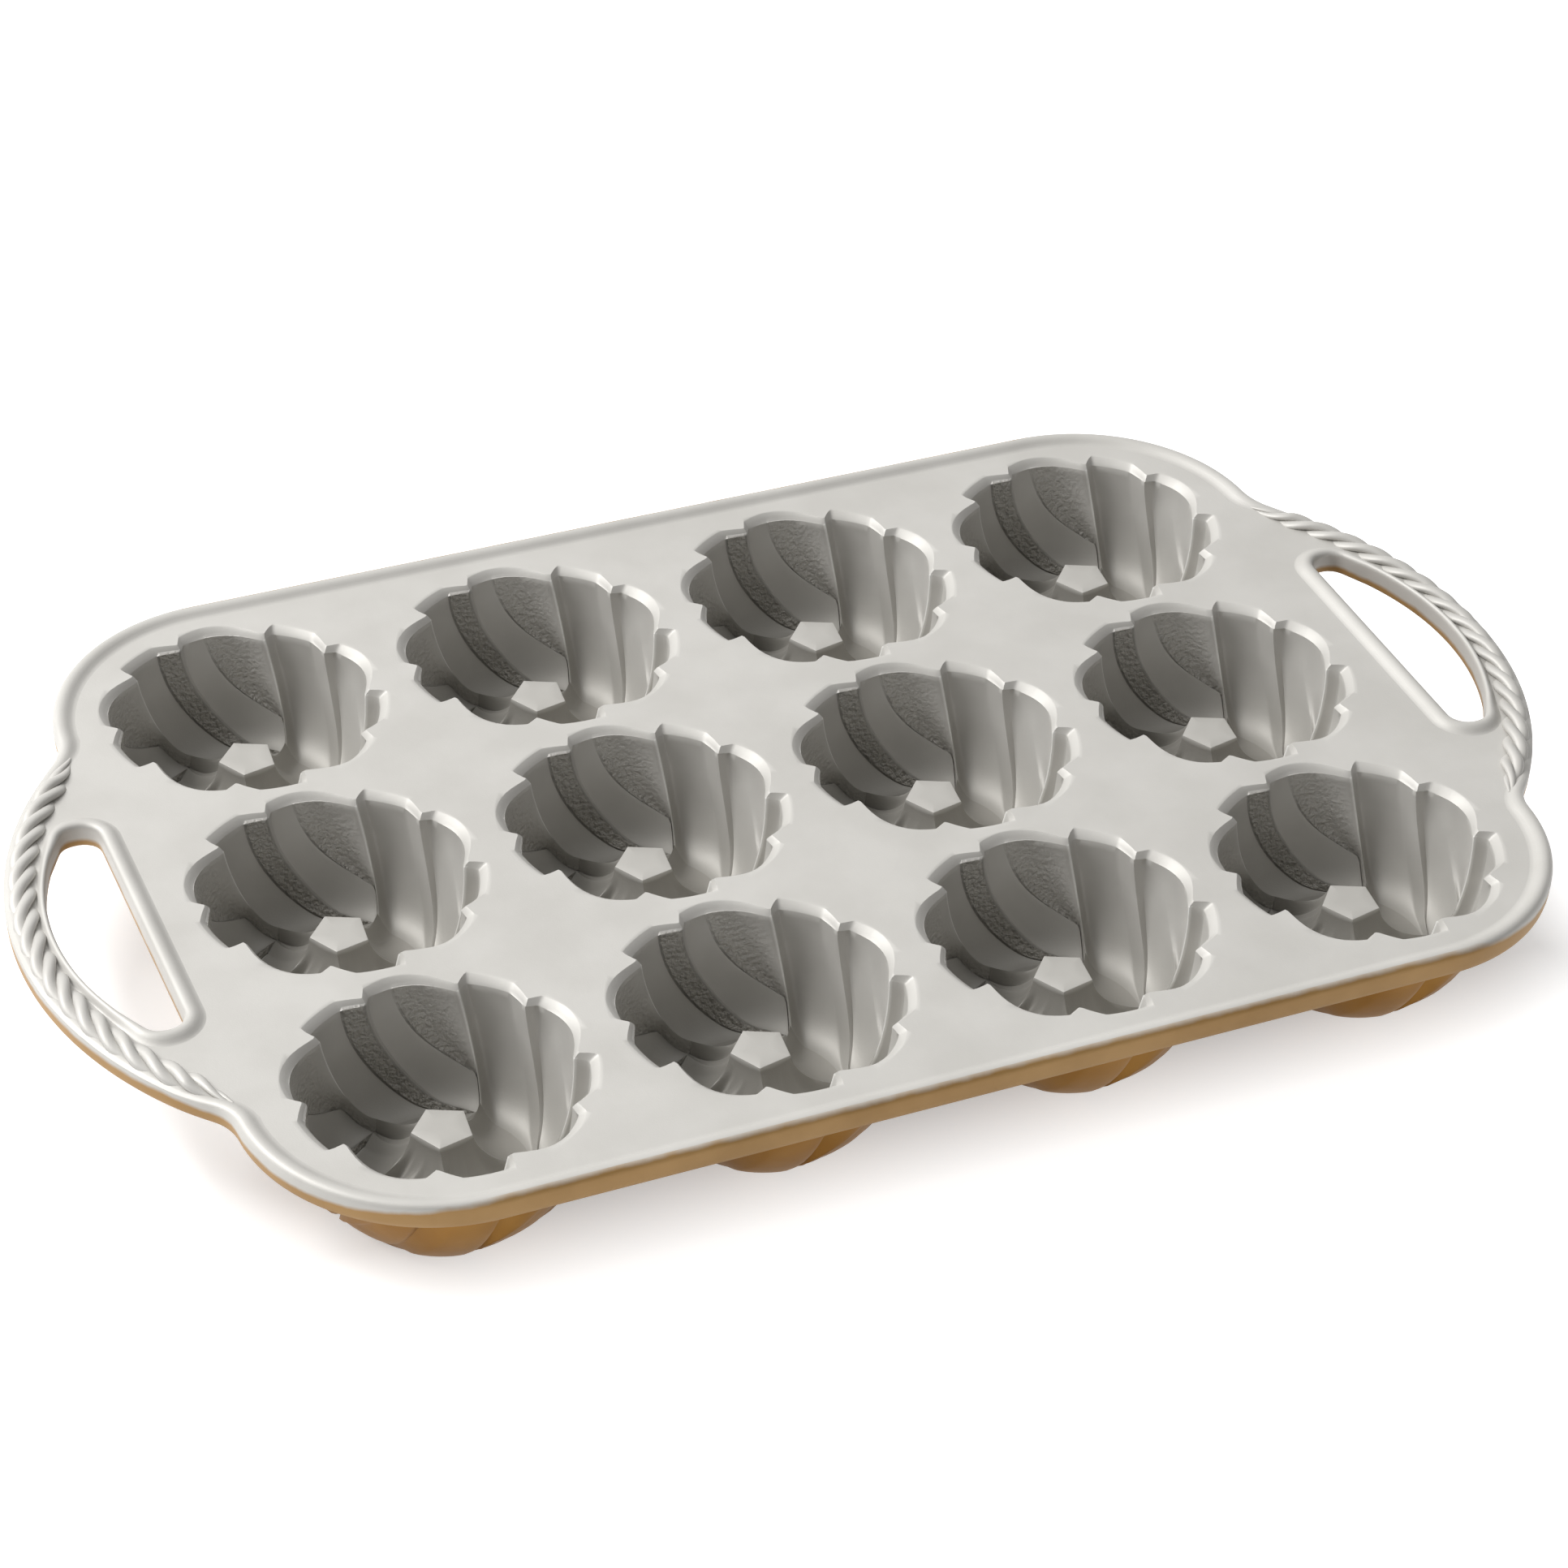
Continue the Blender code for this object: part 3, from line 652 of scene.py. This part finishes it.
def rough_skin_and_shade():
    """How coarse the cast skin is at each point, and how much painted shade darkens it."""
    facet = RUN_STEPS[0] + RUN_STEPS[1]
    scoop = PER_REPEAT - RUN_STEPS[5]
    in_repeat = column_numbers % PER_REPEAT
    on_facet = np.where((in_repeat > facet) & (in_repeat < facet + RUN_STEPS[2]), 1.0, 0.0)
    fading = np.clip(1 - (in_repeat - scoop) / SCOOP_FADE, 0, 1)
    in_scoop = np.where(in_repeat > scoop, fading, 0.0)
    below_lip = SILVER_RINGS - LIP_RINGS - ring_numbers
    in_scoop = in_scoop * np.clip(below_lip / LIP_FADE, 0, 1)
    on_wall = np.where(ring_numbers >= FIRST_WALL_RING, np.clip(below_lip / 2, 0, 1), 0.0)
    on_side = column_numbers >= FIRST_COARSE_REPEAT * PER_REPEAT
    return np.maximum(on_facet, in_scoop) * on_wall * on_side


def crest_highlight_share():
    """How much painted highlight brightens each point: along the main creases, below the lip."""
    inside = (ring_numbers >= FIRST_WALL_RING) & (ring_numbers < SILVER_RINGS - LIP_RINGS)
    return np.where(inside & (column_numbers % PER_REPEAT == 0), CREST_HIGHLIGHT, 0.0)


def low_painted_shade():
    """How much painted shade darkens each point: low in the bowl and on the post's sides."""
    below = -cup_places[ring_numbers, column_numbers, 2]
    share = LOW_DEEPEST * np.clip((below - LOW_FROM) / LOW_OVER, 0, 1)
    share = np.where(ring_numbers < FIRST_WALL_RING, 1.0, share)
    share = np.where(ring_numbers <= LAST_TOP_RING, TOP_LOW, share)
    return np.where(ring_numbers < SILVER_RINGS, share, 0.0)


print("points with a coarse skin:", int((rough_skin_and_shade() > 0).sum()))

# %% [markdown]
# All twelve cups come from one pressed blank. Only the outer ring of a bay differs from bay to bay,
# so the finished mesh is copied with its faces and marks, and the points are moved. The top is
# pearl grey and everything under the edge of the deck is gold.

# %% Twelve bays
BAY_SHARP = 35


def make_bays():
    """The twelve cups, each with its bay of the deck."""
    press(cup_blank, bay_points(1, 1))
    ring_of = cup_blank.verts.layers.int["ring"]
    for face in cup_blank.faces:
        face.material_index = int(max(vert[ring_of] for vert in face.verts) >= SILVER_RINGS)
    template = to_mesh("bay", cup_blank, BAY_SHARP)
    # The coarse skin with its pits, which also carries painted shade.
    mark(template, "rough_and_shade", rough_skin_and_shade())
    # A painted highlight along the main creases.
    mark(template, "crest", crest_highlight_share())
    # Painted shade, low in the bowl and on the post.
    mark(template, "low", low_painted_shade())
    for row in range(ROWS):
        for column in range(BAY_COLUMNS):
            place = f"{row + 1}_{column + 1}"
            mesh = template.copy()
            mesh.name = f"bay_{place}"
            mesh.vertices.foreach_set("co", bay_points(row, column).astype(np.float32).ravel())
            mesh.update()
            add_piece(f"bay_{place}", mesh, (silver, gold), "silver_nonstick",
                      f"cup_{place}", f"post_{place}", f"deck_{place}")


make_bays()
print("bays made:", ROWS * BAY_COLUMNS)

# %% [markdown]
# The outline of the pan, seen from above: the long sides, the round corners, a hollow at each neck
# and the bow of each handle. All of it is arcs that meet smoothly. One quarter is worked out, and
# the other three are its mirror images. The hollow of the neck touches both the corner and the bow,
# and its centre lies where two circles around their centres cross. A Bezier curve drawn by eye
# would be quicker, but its ends would not touch the arcs exactly.

# %% Outline of the pan
ROOT = 0.0755
REACH = HANDLE_END - HALF_LENGTH
BOW = (ROOT**2 + REACH**2) / (2 * REACH)
BOW_CENTRE = Vector((HANDLE_END - BOW, 0))
CORNER_CENTRE = Vector((HALF_LENGTH - CORNER, HALF_WIDTH - CORNER))
NECK = 0.014
BOW_STEPS, NECK_STEPS, CORNER_STEPS, SIDE_STEPS = 44, 12, 30, 16


def neck_centre():
    """Centre of the hollow between the corner and the bow of the handle."""
    between = BOW_CENTRE - CORNER_CENTRE
    first, second = CORNER + NECK, BOW + NECK
    along = (first**2 - second**2 + between.length_squared) / (2 * between.length)
    across = math.sqrt(first**2 - along**2)
    way = between.normalized()
    return CORNER_CENTRE + way * along + Vector((-way.y, way.x)) * across


def arc_stations(centre, radius, start, end, steps, sign=1):
    """Stations (point, outward direction) along an arc, without its last one."""
    for step in range(steps):
        turn = start + (end - start) * step / steps
        way = Vector((math.cos(turn), math.sin(turn)))
        yield centre + way * radius, way * sign


def quarter_outline():
    """Stations from the middle of the right handle to the middle of the back."""
    hollow = neck_centre()
    to_bow, to_corner = hollow - BOW_CENTRE, hollow - CORNER_CENTRE
    bow_end = math.atan2(to_bow.y, to_bow.x)
    corner_start = math.atan2(to_corner.y, to_corner.x)
    stations = list(arc_stations(BOW_CENTRE, BOW, 0, bow_end, BOW_STEPS))
    stations += arc_stations(
        hollow, NECK, bow_end + math.pi, corner_start + math.pi, NECK_STEPS, -1)
    stations += arc_stations(CORNER_CENTRE, CORNER, corner_start, math.pi / 2, CORNER_STEPS)
    for step in range(SIDE_STEPS):
        x = CORNER_CENTRE.x * (1 - step / SIDE_STEPS)
        stations.append((Vector((x, HALF_WIDTH)), Vector((0, 1))))
    return stations


def whole_outline():
    """Points and outward directions all around the pan, anticlockwise, as two arrays."""
    quarter = np.array([(*point, *way) for point, way in quarter_outline()])
    middle = np.array(((0, HALF_WIDTH, 0, 1),))
    mirrored = (quarter[1:] * (-1, 1, -1, 1))[::-1]
    back = np.concatenate((quarter[1:], middle, mirrored))
    tip = quarter[:1]
    everything = np.concatenate((tip, back, -tip, -back))
    return everything[:, :2], everything[:, 2:]


outline, outwards = whole_outline()
STATIONS = len(outline)
NECK_Y, NECK_FADE = CORNER_CENTRE.y + 0.0025, 0.018
on_handle = eased(np.clip((NECK_Y - np.abs(outline[:, 1])) / NECK_FADE, 0, 1))
print("stations around the pan:", STATIONS)

# %% [markdown]
# The rim is a rounded bead that stands 1.5 mm above the deck all around the body. At the necks it
# thins out and sinks, and goes on along the bow as the narrow smooth border outside the rope. It is
# a ring blank whose section is pressed onto the outline, wider on the body and slimmer on the bow.
# A curve with a bevel profile could follow the outline too, but its section can only grow or shrink
# as a whole, and this one has to get narrower and lower at different rates.

# %% Rim
RIM_RISE, RIM_LOW = 0.0015, -0.0055
BORDER, BORDER_RISE, BORDER_SLOPE = 0.0022, -0.0002, 0.0006
RIM_SECTION = (
    (0, -1.0), (0, 0), (0.09, 0.04), (0.20, 0.20), (0.33, 0.55), (0.46, 0.86), (0.60, 1.0),
    (0.73, 0.98), (0.84, 0.82), (0.925, 0.50),
)
RIM_SIDE = (
    (0.975, 0.08), (0.995, 0.18), (1.0, 0.4), (0.985, 0.7), (0.95, 0.88), (0.86, 0.97), (0.7, 1.0),
)
SLOPE_FROM, LAST_SILVER = 6, 7
LINE_LIFT, LINE_CLIMB = 0.0034, 0.055
RIM_SHARP = 50


def rim_inner():
    """The inner edge of the rim at each station, and its width there."""
    width = (RIM + (BORDER - RIM) * on_handle)[:, None]
    return outline - outwards * width, width


def rim_points():
    """Places of the rim: section points by stations."""
    inner, width = rim_inner()
    rise = RIM_RISE + (BORDER_RISE - RIM_RISE) * on_handle
    rings = []
    for index, (across, up) in enumerate(RIM_SECTION):
        height = np.where(up < 0, RIM_LOW, rise * up)
        if index >= SLOPE_FROM:
            height = height - on_handle * BORDER_SLOPE * ((across - 0.5) / 0.4)
        rings.append(np.column_stack((inner + outwards * width * across, DECK + height)))
    top = rings[-1][:, 2]
    for across, down in RIM_SIDE:
        height = top + (DECK + RIM_LOW - top) * down
        rings.append(np.column_stack((inner + outwards * width * across, height)))
    return np.stack(rings)


rim_places = rim_points()
rim_body, rim_rings, rim_columns = turned_blank(len(rim_places), STATIONS, True)
press(rim_body, rim_places[rim_rings, rim_columns])
ring_of = rim_body.verts.layers.int["ring"]
for face in rim_body.faces:
    face_rings = [vert[ring_of] for vert in face.verts]
    face.material_index = int(min(face_rings) > 0 and max(face_rings) <= LAST_SILVER)
climb = LINE_LIFT * eased(np.clip((HALF_LENGTH - np.abs(outline[:, 0])) / LINE_CLIMB, 0, 1))
rim_mesh = to_mesh("rim", rim_body, RIM_SHARP)
mark(rim_mesh, "lift", climb[rim_columns])
add_piece("rim", rim_mesh, (two_tone, silver), "gold_exterior", "rim_front", "rim_back")
print("rim made, points around it:", STATIONS)

# %% [markdown]
# Each handle is a flat plate inside the rim's border, pierced by a D-shaped hand opening. Two loops
# of edges, the border and the opening, are filled with a flat face, which is then extruded to its
# thickness. A boolean could cut the opening, but its edge would be harder to find again: here the
# lower edge is picked by its place and bevelled, so that it doesn't cut into the fingers.

# %% Handle plates
OPENING_WIDTH, OPENING_LENGTH = 0.0216, 0.0846
OPENING_BOW, OPENING_CORNER = 0.077, 0.005
CORNER_REACH = 1.6
OPENING_POINTS = 150
PLATE, PLATE_EDGE = 0.0055, 0.0012
JOINT_SPREAD = 0.0006
OPENING_LIFT = -0.0010
NEAR = 1e-5


def rounded(corners, radius, steps=8):
    """An outline whose sharp corners are rounded. corners are (point, is sharp)."""
    points = []
    for index, (corner, is_sharp) in enumerate(corners):
        if not is_sharp:
            points.append(corner)
            continue
        to_last = (corners[index - 1][0] - corner).normalized()
        to_next = (corners[(index + 1) % len(corners)][0] - corner).normalized()
        half = to_last.angle(to_next) / 2
        start = corner + to_last * radius / math.tan(half)
        end = corner + to_next * radius / math.tan(half)
        middle = corner + (to_last + to_next).normalized() * radius / math.sin(half)
        for step in range(steps + 1):
            way = (start - middle).lerp(end - middle, step / steps).normalized()
            points.append(middle + way * radius)
    return points


def opening_outline(bow_steps=40):
    """The D of the right-hand opening, anticlockwise."""
    centre = HALF_LENGTH + OPENING_WIDTH - OPENING_BOW
    spread = math.asin(OPENING_LENGTH / 2 / OPENING_BOW)
    bow = []
    for step in range(bow_steps + 1):
        turn = spread * (2 * step / bow_steps - 1)
        bow.append(Vector((centre + OPENING_BOW * math.cos(turn), OPENING_BOW * math.sin(turn))))
    highest = OPENING_LENGTH / 2 - OPENING_CORNER * CORNER_REACH
    inside = [point for point in bow[1:-1] if abs(point.y) < highest]
    corners = [(Vector((HALF_LENGTH, y)), True) for y in (OPENING_LENGTH / 2, -OPENING_LENGTH / 2)]
    corners += [(bow[0], True)] + [(point, False) for point in inside] + [(bow[-1], True)]
    return rounded(corners, OPENING_CORNER)


def resampled(points, count):
    """The same closed outline with evenly spaced points."""
    loop = np.array([p[:2] for p in points] + [points[0][:2]])
    along = np.concatenate(([0], np.cumsum(np.linalg.norm(np.diff(loop, axis=0), axis=1))))
    wanted = np.linspace(0, along[-1], count, endpoint=False)
    return np.column_stack([np.interp(wanted, along, loop[:, axis]) for axis in (0, 1)])


def plate_border():
    """The border of the right-hand plate: along the deck and the inner edge of the rim."""
    joint = HALF_LENGTH - RIM
    beyond = [point for point in rim_inner()[0] if point[0] > joint + NEAR]
    bow = sorted(beyond, key=lambda point: point[1])
    top = bow[-1][1] + JOINT_SPREAD
    return bow + [np.array((joint, top)), np.array((joint, -top))]


def loop_of(body, points, height):
    """A closed loop of edges through the points."""
    made = bmesh.ops.create_circle(body, cap_ends=False, segments=len(points), radius=1)
    verts = sorted(made["verts"], key=lambda v: math.atan2(v.co.y, v.co.x) % (2 * math.pi))
    for vert, (x, y) in zip(verts, points):
        vert.co = (x, y, height)
    return list({edge for vert in verts for edge in vert.link_edges})


def is_lower_edge(edge):
    """Whether an edge runs around the underside of the opening."""
    return (len({round(face.normal.z) for face in edge.link_faces}) == 2
            and all(vert.co.z < DECK - PLATE + MERGE
                    and abs(vert.co.y) < OPENING_LENGTH / 2 + NEAR
                    and -NEAR < abs(vert.co.x) - HALF_LENGTH < OPENING_WIDTH + NEAR
                    for vert in edge.verts))


def make_plate(side, suffix):
    """One handle plate: side is 1 on the right and -1 on the left."""
    body = bmesh.new()
    flip = np.array((side, 1))
    border = loop_of(body, np.array(plate_border()) * flip, DECK)
    hole = loop_of(body, resampled(opening_outline(), OPENING_POINTS) * flip, DECK)
    bmesh.ops.triangle_fill(body, edges=border + hole, use_beauty=True)
    for face in body.faces:
        if face.normal.z < 0:
            face.normal_flip()
    grown = bmesh.ops.extrude_face_region(body, geom=body.faces[:])
    lower = [item for item in grown["geom"] if isinstance(item, bmesh.types.BMVert)]
    bmesh.ops.translate(body, verts=lower, vec=(0, 0, -PLATE))
    face_outwards(body)
    rounding = [edge for edge in body.edges if is_lower_edge(edge)]
    bmesh.ops.bevel(body, geom=rounding, offset=PLATE_EDGE, offset_type="OFFSET", affect="EDGES",
                    segments=3, profile=0.5, material=-1)
    mesh = to_mesh(f"handle_{suffix}", body)
    mark(mesh, "lift", np.full(len(mesh.vertices), OPENING_LIFT))
    add_piece(f"handle_plate_{suffix}", mesh, (two_tone,), "gold_exterior", f"handle_{suffix}")


for handle_side, handle_suffix in ((1, "right"), (-1, "left")):
    make_plate(handle_side, handle_suffix)
print("handle plates made, thickness in mm:", PLATE / MM)

# %% [markdown]
# A raised bead frames each opening. It is broad and softly domed beside the straight side, where a
# hand pulls against it, and only a thin lip beside the bow, where the rope leaves it little room.
# It could be an inset of the plate's faces, raised and bevelled, but its width changes along the
# way, so it is again a ring blank, pressed onto the outline of the opening.

# %% Beads around the openings
BEAD_WIDTH, BEAD_HEIGHT, BEAD_SLIM = 0.0052, 0.0017, 0.46
BEAD_SECTION = (
    (0, 0), (0, 0.35), (0.04, 0.62), (0.13, 0.86), (0.27, 1.0), (0.42, 0.97), (0.57, 0.80),
    (0.71, 0.50), (0.84, 0.20), (0.94, 0.05), (1.0, 0),
)
BEAD_STATIONS, BEAD_SHARP = 200, 50
SLIM_FROM, SLIM_OVER = 0.25, 0.55


def bead_points(side):
    """Places of a bead: section points by stations along the opening."""
    edge = resampled(opening_outline(), BEAD_STATIONS)
    along = np.roll(edge, -1, axis=0) - np.roll(edge, 1, axis=0)
    along /= np.linalg.norm(along, axis=1)[:, None]
    away = np.column_stack((along[:, 1], -along[:, 0]))
    share = ((edge[:, 0] - HALF_LENGTH) / OPENING_WIDTH - SLIM_FROM) / SLIM_OVER
    width = BEAD_WIDTH * (1 + (BEAD_SLIM - 1) * eased(np.clip(share, 0, 1)))[:, None]
    rings = []
    for across, up in BEAD_SECTION:
        places = (edge + away * width * across) * np.array((side, 1))
        rings.append(np.column_stack((places, np.full(BEAD_STATIONS, DECK + BEAD_HEIGHT * up))))
    return np.stack(rings)


for handle_side, handle_suffix in ((1, "right"), (-1, "left")):
    places = bead_points(handle_side)
    body, rings, columns = turned_blank(len(places), BEAD_STATIONS, True)
    press(body, places[rings, columns])
    bead_mesh = to_mesh("opening_frame", body, BEAD_SHARP)
    add_piece(f"opening_frame_{handle_suffix}", bead_mesh, (silver,), "silver_nonstick",
              f"opening_bead_{handle_suffix}")
print("opening frames made, width in mm:", BEAD_WIDTH / MM)

# %% [markdown]
# The rope ornament is three strands laid around each other. One strand is a circle that
# bmesh.ops.spin turns around the rope's straight axis while it also moves it along, which is a
# helix. The three strands are then bent together along the bow: the distance along the straight
# rope becomes an angle around the centre of the bow. Both ends taper into the plate. The faces are
# turned outwards while the rope is straight and each strand ends in its outermost faces. The bend
# mirrors the right rope, which is then reversed as a whole. A bump pattern on a plain bead would
# look like a rope only from above, and its outline would stay straight.

# %% Ropes
ROPE_INSET, ROPE_END = 0.0047, 0.0715
STRANDS, STRAND_SIDES, ROPE_SHARP = 3, 14, 60
STRAND, STRAND_OUT = 0.00175, 0.00185
ROPE_FLAT = 0.69
ROPE_TURNS, ROPE_STEPS = 6, 34
ROPE_TAPER, ROPE_TIP, ROPE_FLARE = 0.08, 0.20, 0.0016
ROPE_SINK = 0.0001


def turn_about(axis, degrees):
    """A rotation matrix about an axis through the origin."""
    return Matrix.Rotation(math.radians(degrees), 3, axis)


def make_rope(side, suffix):
    """One rope ornament: side is 1 on the right and -1 on the left."""
    radius = BOW - ROPE_INSET
    spread = math.asin(ROPE_END / radius)
    length = 2 * spread * radius
    body = bmesh.new()
    steps = ROPE_TURNS * ROPE_STEPS
    for strand in range(STRANDS):
        made = bmesh.ops.create_circle(body, cap_ends=True, segments=STRAND_SIDES, radius=STRAND)
        verts = made["verts"]
        faces = list({face for vert in verts for face in vert.link_faces})
        bmesh.ops.rotate(body, verts=verts, cent=(0, 0, 0), matrix=turn_about("Y", 90))
        bmesh.ops.translate(body, verts=verts, vec=(-length / 2, STRAND_OUT, 0))
        placed = turn_about("X", 360 / STRANDS * strand)
        bmesh.ops.rotate(body, verts=verts, cent=(0, 0, 0), matrix=placed)
        edges = list({edge for face in faces for edge in face.edges})
        bmesh.ops.spin(body, geom=verts + edges + faces, cent=(0, 0, 0), axis=(1, 0, 0),
                       dvec=(length / steps, 0, 0), angle=2 * math.pi * ROPE_TURNS, steps=steps)
    face_outwards(body)
    for vert in body.verts:
        along = vert.co.x / length + 0.5
        full = min(1, min(along, 1 - along) / ROPE_TAPER)
        thickness = ROPE_TIP + (1 - ROPE_TIP) * full
        out = radius + ROPE_FLARE * (1 - full) ** 2 + vert.co.y * thickness
        turn = vert.co.x / radius
        height = DECK - ROPE_SINK + vert.co.z * thickness * ROPE_FLAT
        vert.co = (side * (BOW_CENTRE.x + out * math.cos(turn)), out * math.sin(turn), height)
    right_way_out(body)
    mesh = to_mesh(f"rope_{suffix}", body, ROPE_SHARP)
    add_piece(f"rope_ornament_{suffix}", mesh, (silver,), "silver_nonstick", f"rope_{suffix}")


for handle_side, handle_suffix in ((1, "right"), (-1, "left")):
    make_rope(handle_side, handle_suffix)
print("ropes made, strands in each:", STRANDS)

# %% [markdown]
# The floor is a plain pale sheet. It looks nearly white, as in the photograph, because its material
# adds some light of its own where the camera sees it, straight or in a shiny or clear surface. That
# light doesn't fall on the pan. It is weaker close under the pan, which keeps the soft shadow of the
# lamps there and paints it deeper, as painted shadow. Brighter lamps would whiten the floor too, but
# wash out the coatings.

# %% Floor
FLOOR_GREY, FLOOR_ROUGHNESS = (0.72, 0.72, 0.72), 0.9
FLOOR_SIZE, FLOOR_DROP = 6, 0.0001
SHADE_INSET, SHADE_FADE = 0.034, 0.028
GLOW_IN_PAINTED_SHADOW, GLOW_AWAY = 0.42, 0.88


def add_up(nodes, links, *values):
    """The sum of a few values, at most 1."""
    total = values[0]
    for value in values[1:]:
        node = nodes.new("ShaderNodeMath")
        node.use_clamp = True
        links.new(total, node.inputs[0])
        links.new(value, node.inputs[1])
        total = node.outputs["Value"]
    return total


def vector_math(nodes, links, operation, place, other=None, result="Vector"):
    """What a vector math node makes of one vector, or of one and a constant."""
    node = nodes.new("ShaderNodeVectorMath")
    node.operation = operation
    links.new(place, node.inputs[0])
    if other is not None:
        node.inputs[1].default_value = other
    return node.outputs[result]


def make_floor():
    """The floor, a hair below the feet, with its own light for the background."""
    body = bmesh.new()
    bmesh.ops.create_grid(body, x_segments=1, y_segments=1, size=FLOOR_SIZE)
    bmesh.ops.translate(body, verts=body.verts, vec=(0, 0, -FLOOR_DROP))
    mesh = bpy.data.meshes.new("floor")
    body.to_mesh(mesh)
    body.free()
    floor = bpy.data.objects.new("floor", mesh)
    bpy.context.scene.collection.objects.link(floor)
    material = bpy.data.materials.new("floor")
    material.use_nodes = True
    nodes, links = material.node_tree.nodes, material.node_tree.links
    sheet = nodes["Principled BSDF"]
    sheet.inputs["Base Color"].default_value = (*FLOOR_GREY, 1)
    sheet.inputs["Roughness"].default_value = FLOOR_ROUGHNESS
    sheet.inputs["Specular IOR Level"].default_value = 0.0
    glow = nodes.new("ShaderNodeEmission")
    rays = nodes.new("ShaderNodeLightPath").outputs
    seen = add_up(nodes, links, rays["Is Camera Ray"], rays["Is Glossy Ray"],
                  rays["Is Transmission Ray"])
    place = nodes.new("ShaderNodeTexCoord").outputs["Object"]
    # Painted shadow: the floor's own light is weaker close under the pan.
    shade_size = (HALF_LENGTH, HALF_WIDTH - SHADE_INSET, 0)
    beyond = vector_math(nodes, links, "ABSOLUTE", place)
    beyond = vector_math(nodes, links, "SUBTRACT", beyond, shade_size)
    beyond = vector_math(nodes, links, "MAXIMUM", beyond, (0, 0, 0))
    away = vector_math(nodes, links, "LENGTH", beyond, result="Value")
    strength = ranged(nodes, links, away, 0.0, SHADE_FADE, GLOW_IN_PAINTED_SHADOW, GLOW_AWAY)
    links.new(math_node(nodes, links, "MULTIPLY", seen, strength), glow.inputs["Strength"])
    both = nodes.new("ShaderNodeAddShader")
    links.new(sheet.outputs["BSDF"], both.inputs[0])
    links.new(glow.outputs["Emission"], both.inputs[1])
    links.new(both.outputs["Shader"], nodes["Material Output"].inputs["Surface"])
    mesh.materials.append(material)


make_floor()
print("floor made, its height in mm:", -FLOOR_DROP / MM)

# %% [markdown]
# Light. A metal shows what it reflects, so the room matters more than the lamps. Here the room is
# bright behind and to the left of the pan and dim on the camera's side, as in a photo studio with
# one large window. That makes the walls of the cups that face the window bright and those that
# face the camera dark. One soft lamp on the window's side adds the gentle shadow, and a weak one in
# front lifts the gold under the rim. The background is white for the camera, and a low band of it
# shows in the coatings too. A picture of a real room would also do, but it would be one more file.

# %% Room light
WINDOW_WAY = (-0.25, 0.58, 0.78)
ROOM_STOPS, ROOM_STRENGTH = ((0.0, 0.08), (0.55, 0.11), (0.8, 0.42), (0.93, 1.0), (1.0, 1.1)), 1.25
BACKDROP_FADE, BACKDROP_TOP = 0.15, 0.40
PAN_MIDDLE = (0, 0, 0.03)


def make_room():
    """The world: a room that is bright towards the window, before a white backdrop."""
    world = bpy.data.worlds.new("room")
    bpy.context.scene.world = world
    world.use_nodes = True
    nodes, links = world.node_tree.nodes, world.node_tree.links
    room = nodes["Background"]
    way = nodes.new("ShaderNodeTexCoord").outputs["Generated"]
    window = Vector(WINDOW_WAY).normalized()
    towards = vector_math(nodes, links, "DOT_PRODUCT", way, window, "Value")
    greys = [(at, (grey,) * 3) for at, grey in ROOM_STOPS]
    tone = ramp(nodes, links, ranged(nodes, links, towards, -1.0, 1.0), greys)
    links.new(tone, room.inputs["Color"])
    room.inputs["Strength"].default_value = ROOM_STRENGTH
    white = nodes.new("ShaderNodeBackground")
    white.inputs["Color"].default_value = (1, 1, 1, 1)
    rays = nodes.new("ShaderNodeLightPath").outputs
    height = nodes.new("ShaderNodeSeparateXYZ")
    links.new(way, height.inputs["Vector"])
    band = ranged(nodes, links, height.outputs["Z"], BACKDROP_FADE, BACKDROP_TOP, 1.0, 0.0)
    mirrored = math_node(nodes, links, "MULTIPLY", band, rays["Is Glossy Ray"])
    seen = add_up(nodes, links, rays["Is Camera Ray"], rays["Is Transmission Ray"], mirrored)
    pick = nodes.new("ShaderNodeMixShader")
    links.new(seen, pick.inputs["Fac"])
    links.new(room.outputs["Background"], pick.inputs[1])
    links.new(white.outputs["Background"], pick.inputs[2])
    links.new(pick.outputs["Shader"], nodes["World Output"].inputs["Surface"])


def add_lamp(name, place, size, power):
    """A square lamp that points at the pan. size is in metres and power in watts."""
    lamp = bpy.data.lights.new(name, "AREA")
    lamp.size = size
    lamp.energy = power
    lamp_object = bpy.data.objects.new(name, lamp)
    bpy.context.scene.collection.objects.link(lamp_object)
    lamp_object.location = place
    towards_pan = Vector(PAN_MIDDLE) - Vector(place)
    lamp_object.rotation_euler = towards_pan.to_track_quat("-Z", "Y").to_euler()


make_room()
add_lamp("window", place=(-1.35, 0.75, 1.55), size=1.1, power=42)
add_lamp("front fill", place=(-0.7, -1.9, 0.30), size=0.7, power=3)
bpy.context.scene.view_settings.view_transform = "Standard"
print("room made, lamps:", len(bpy.data.lights))
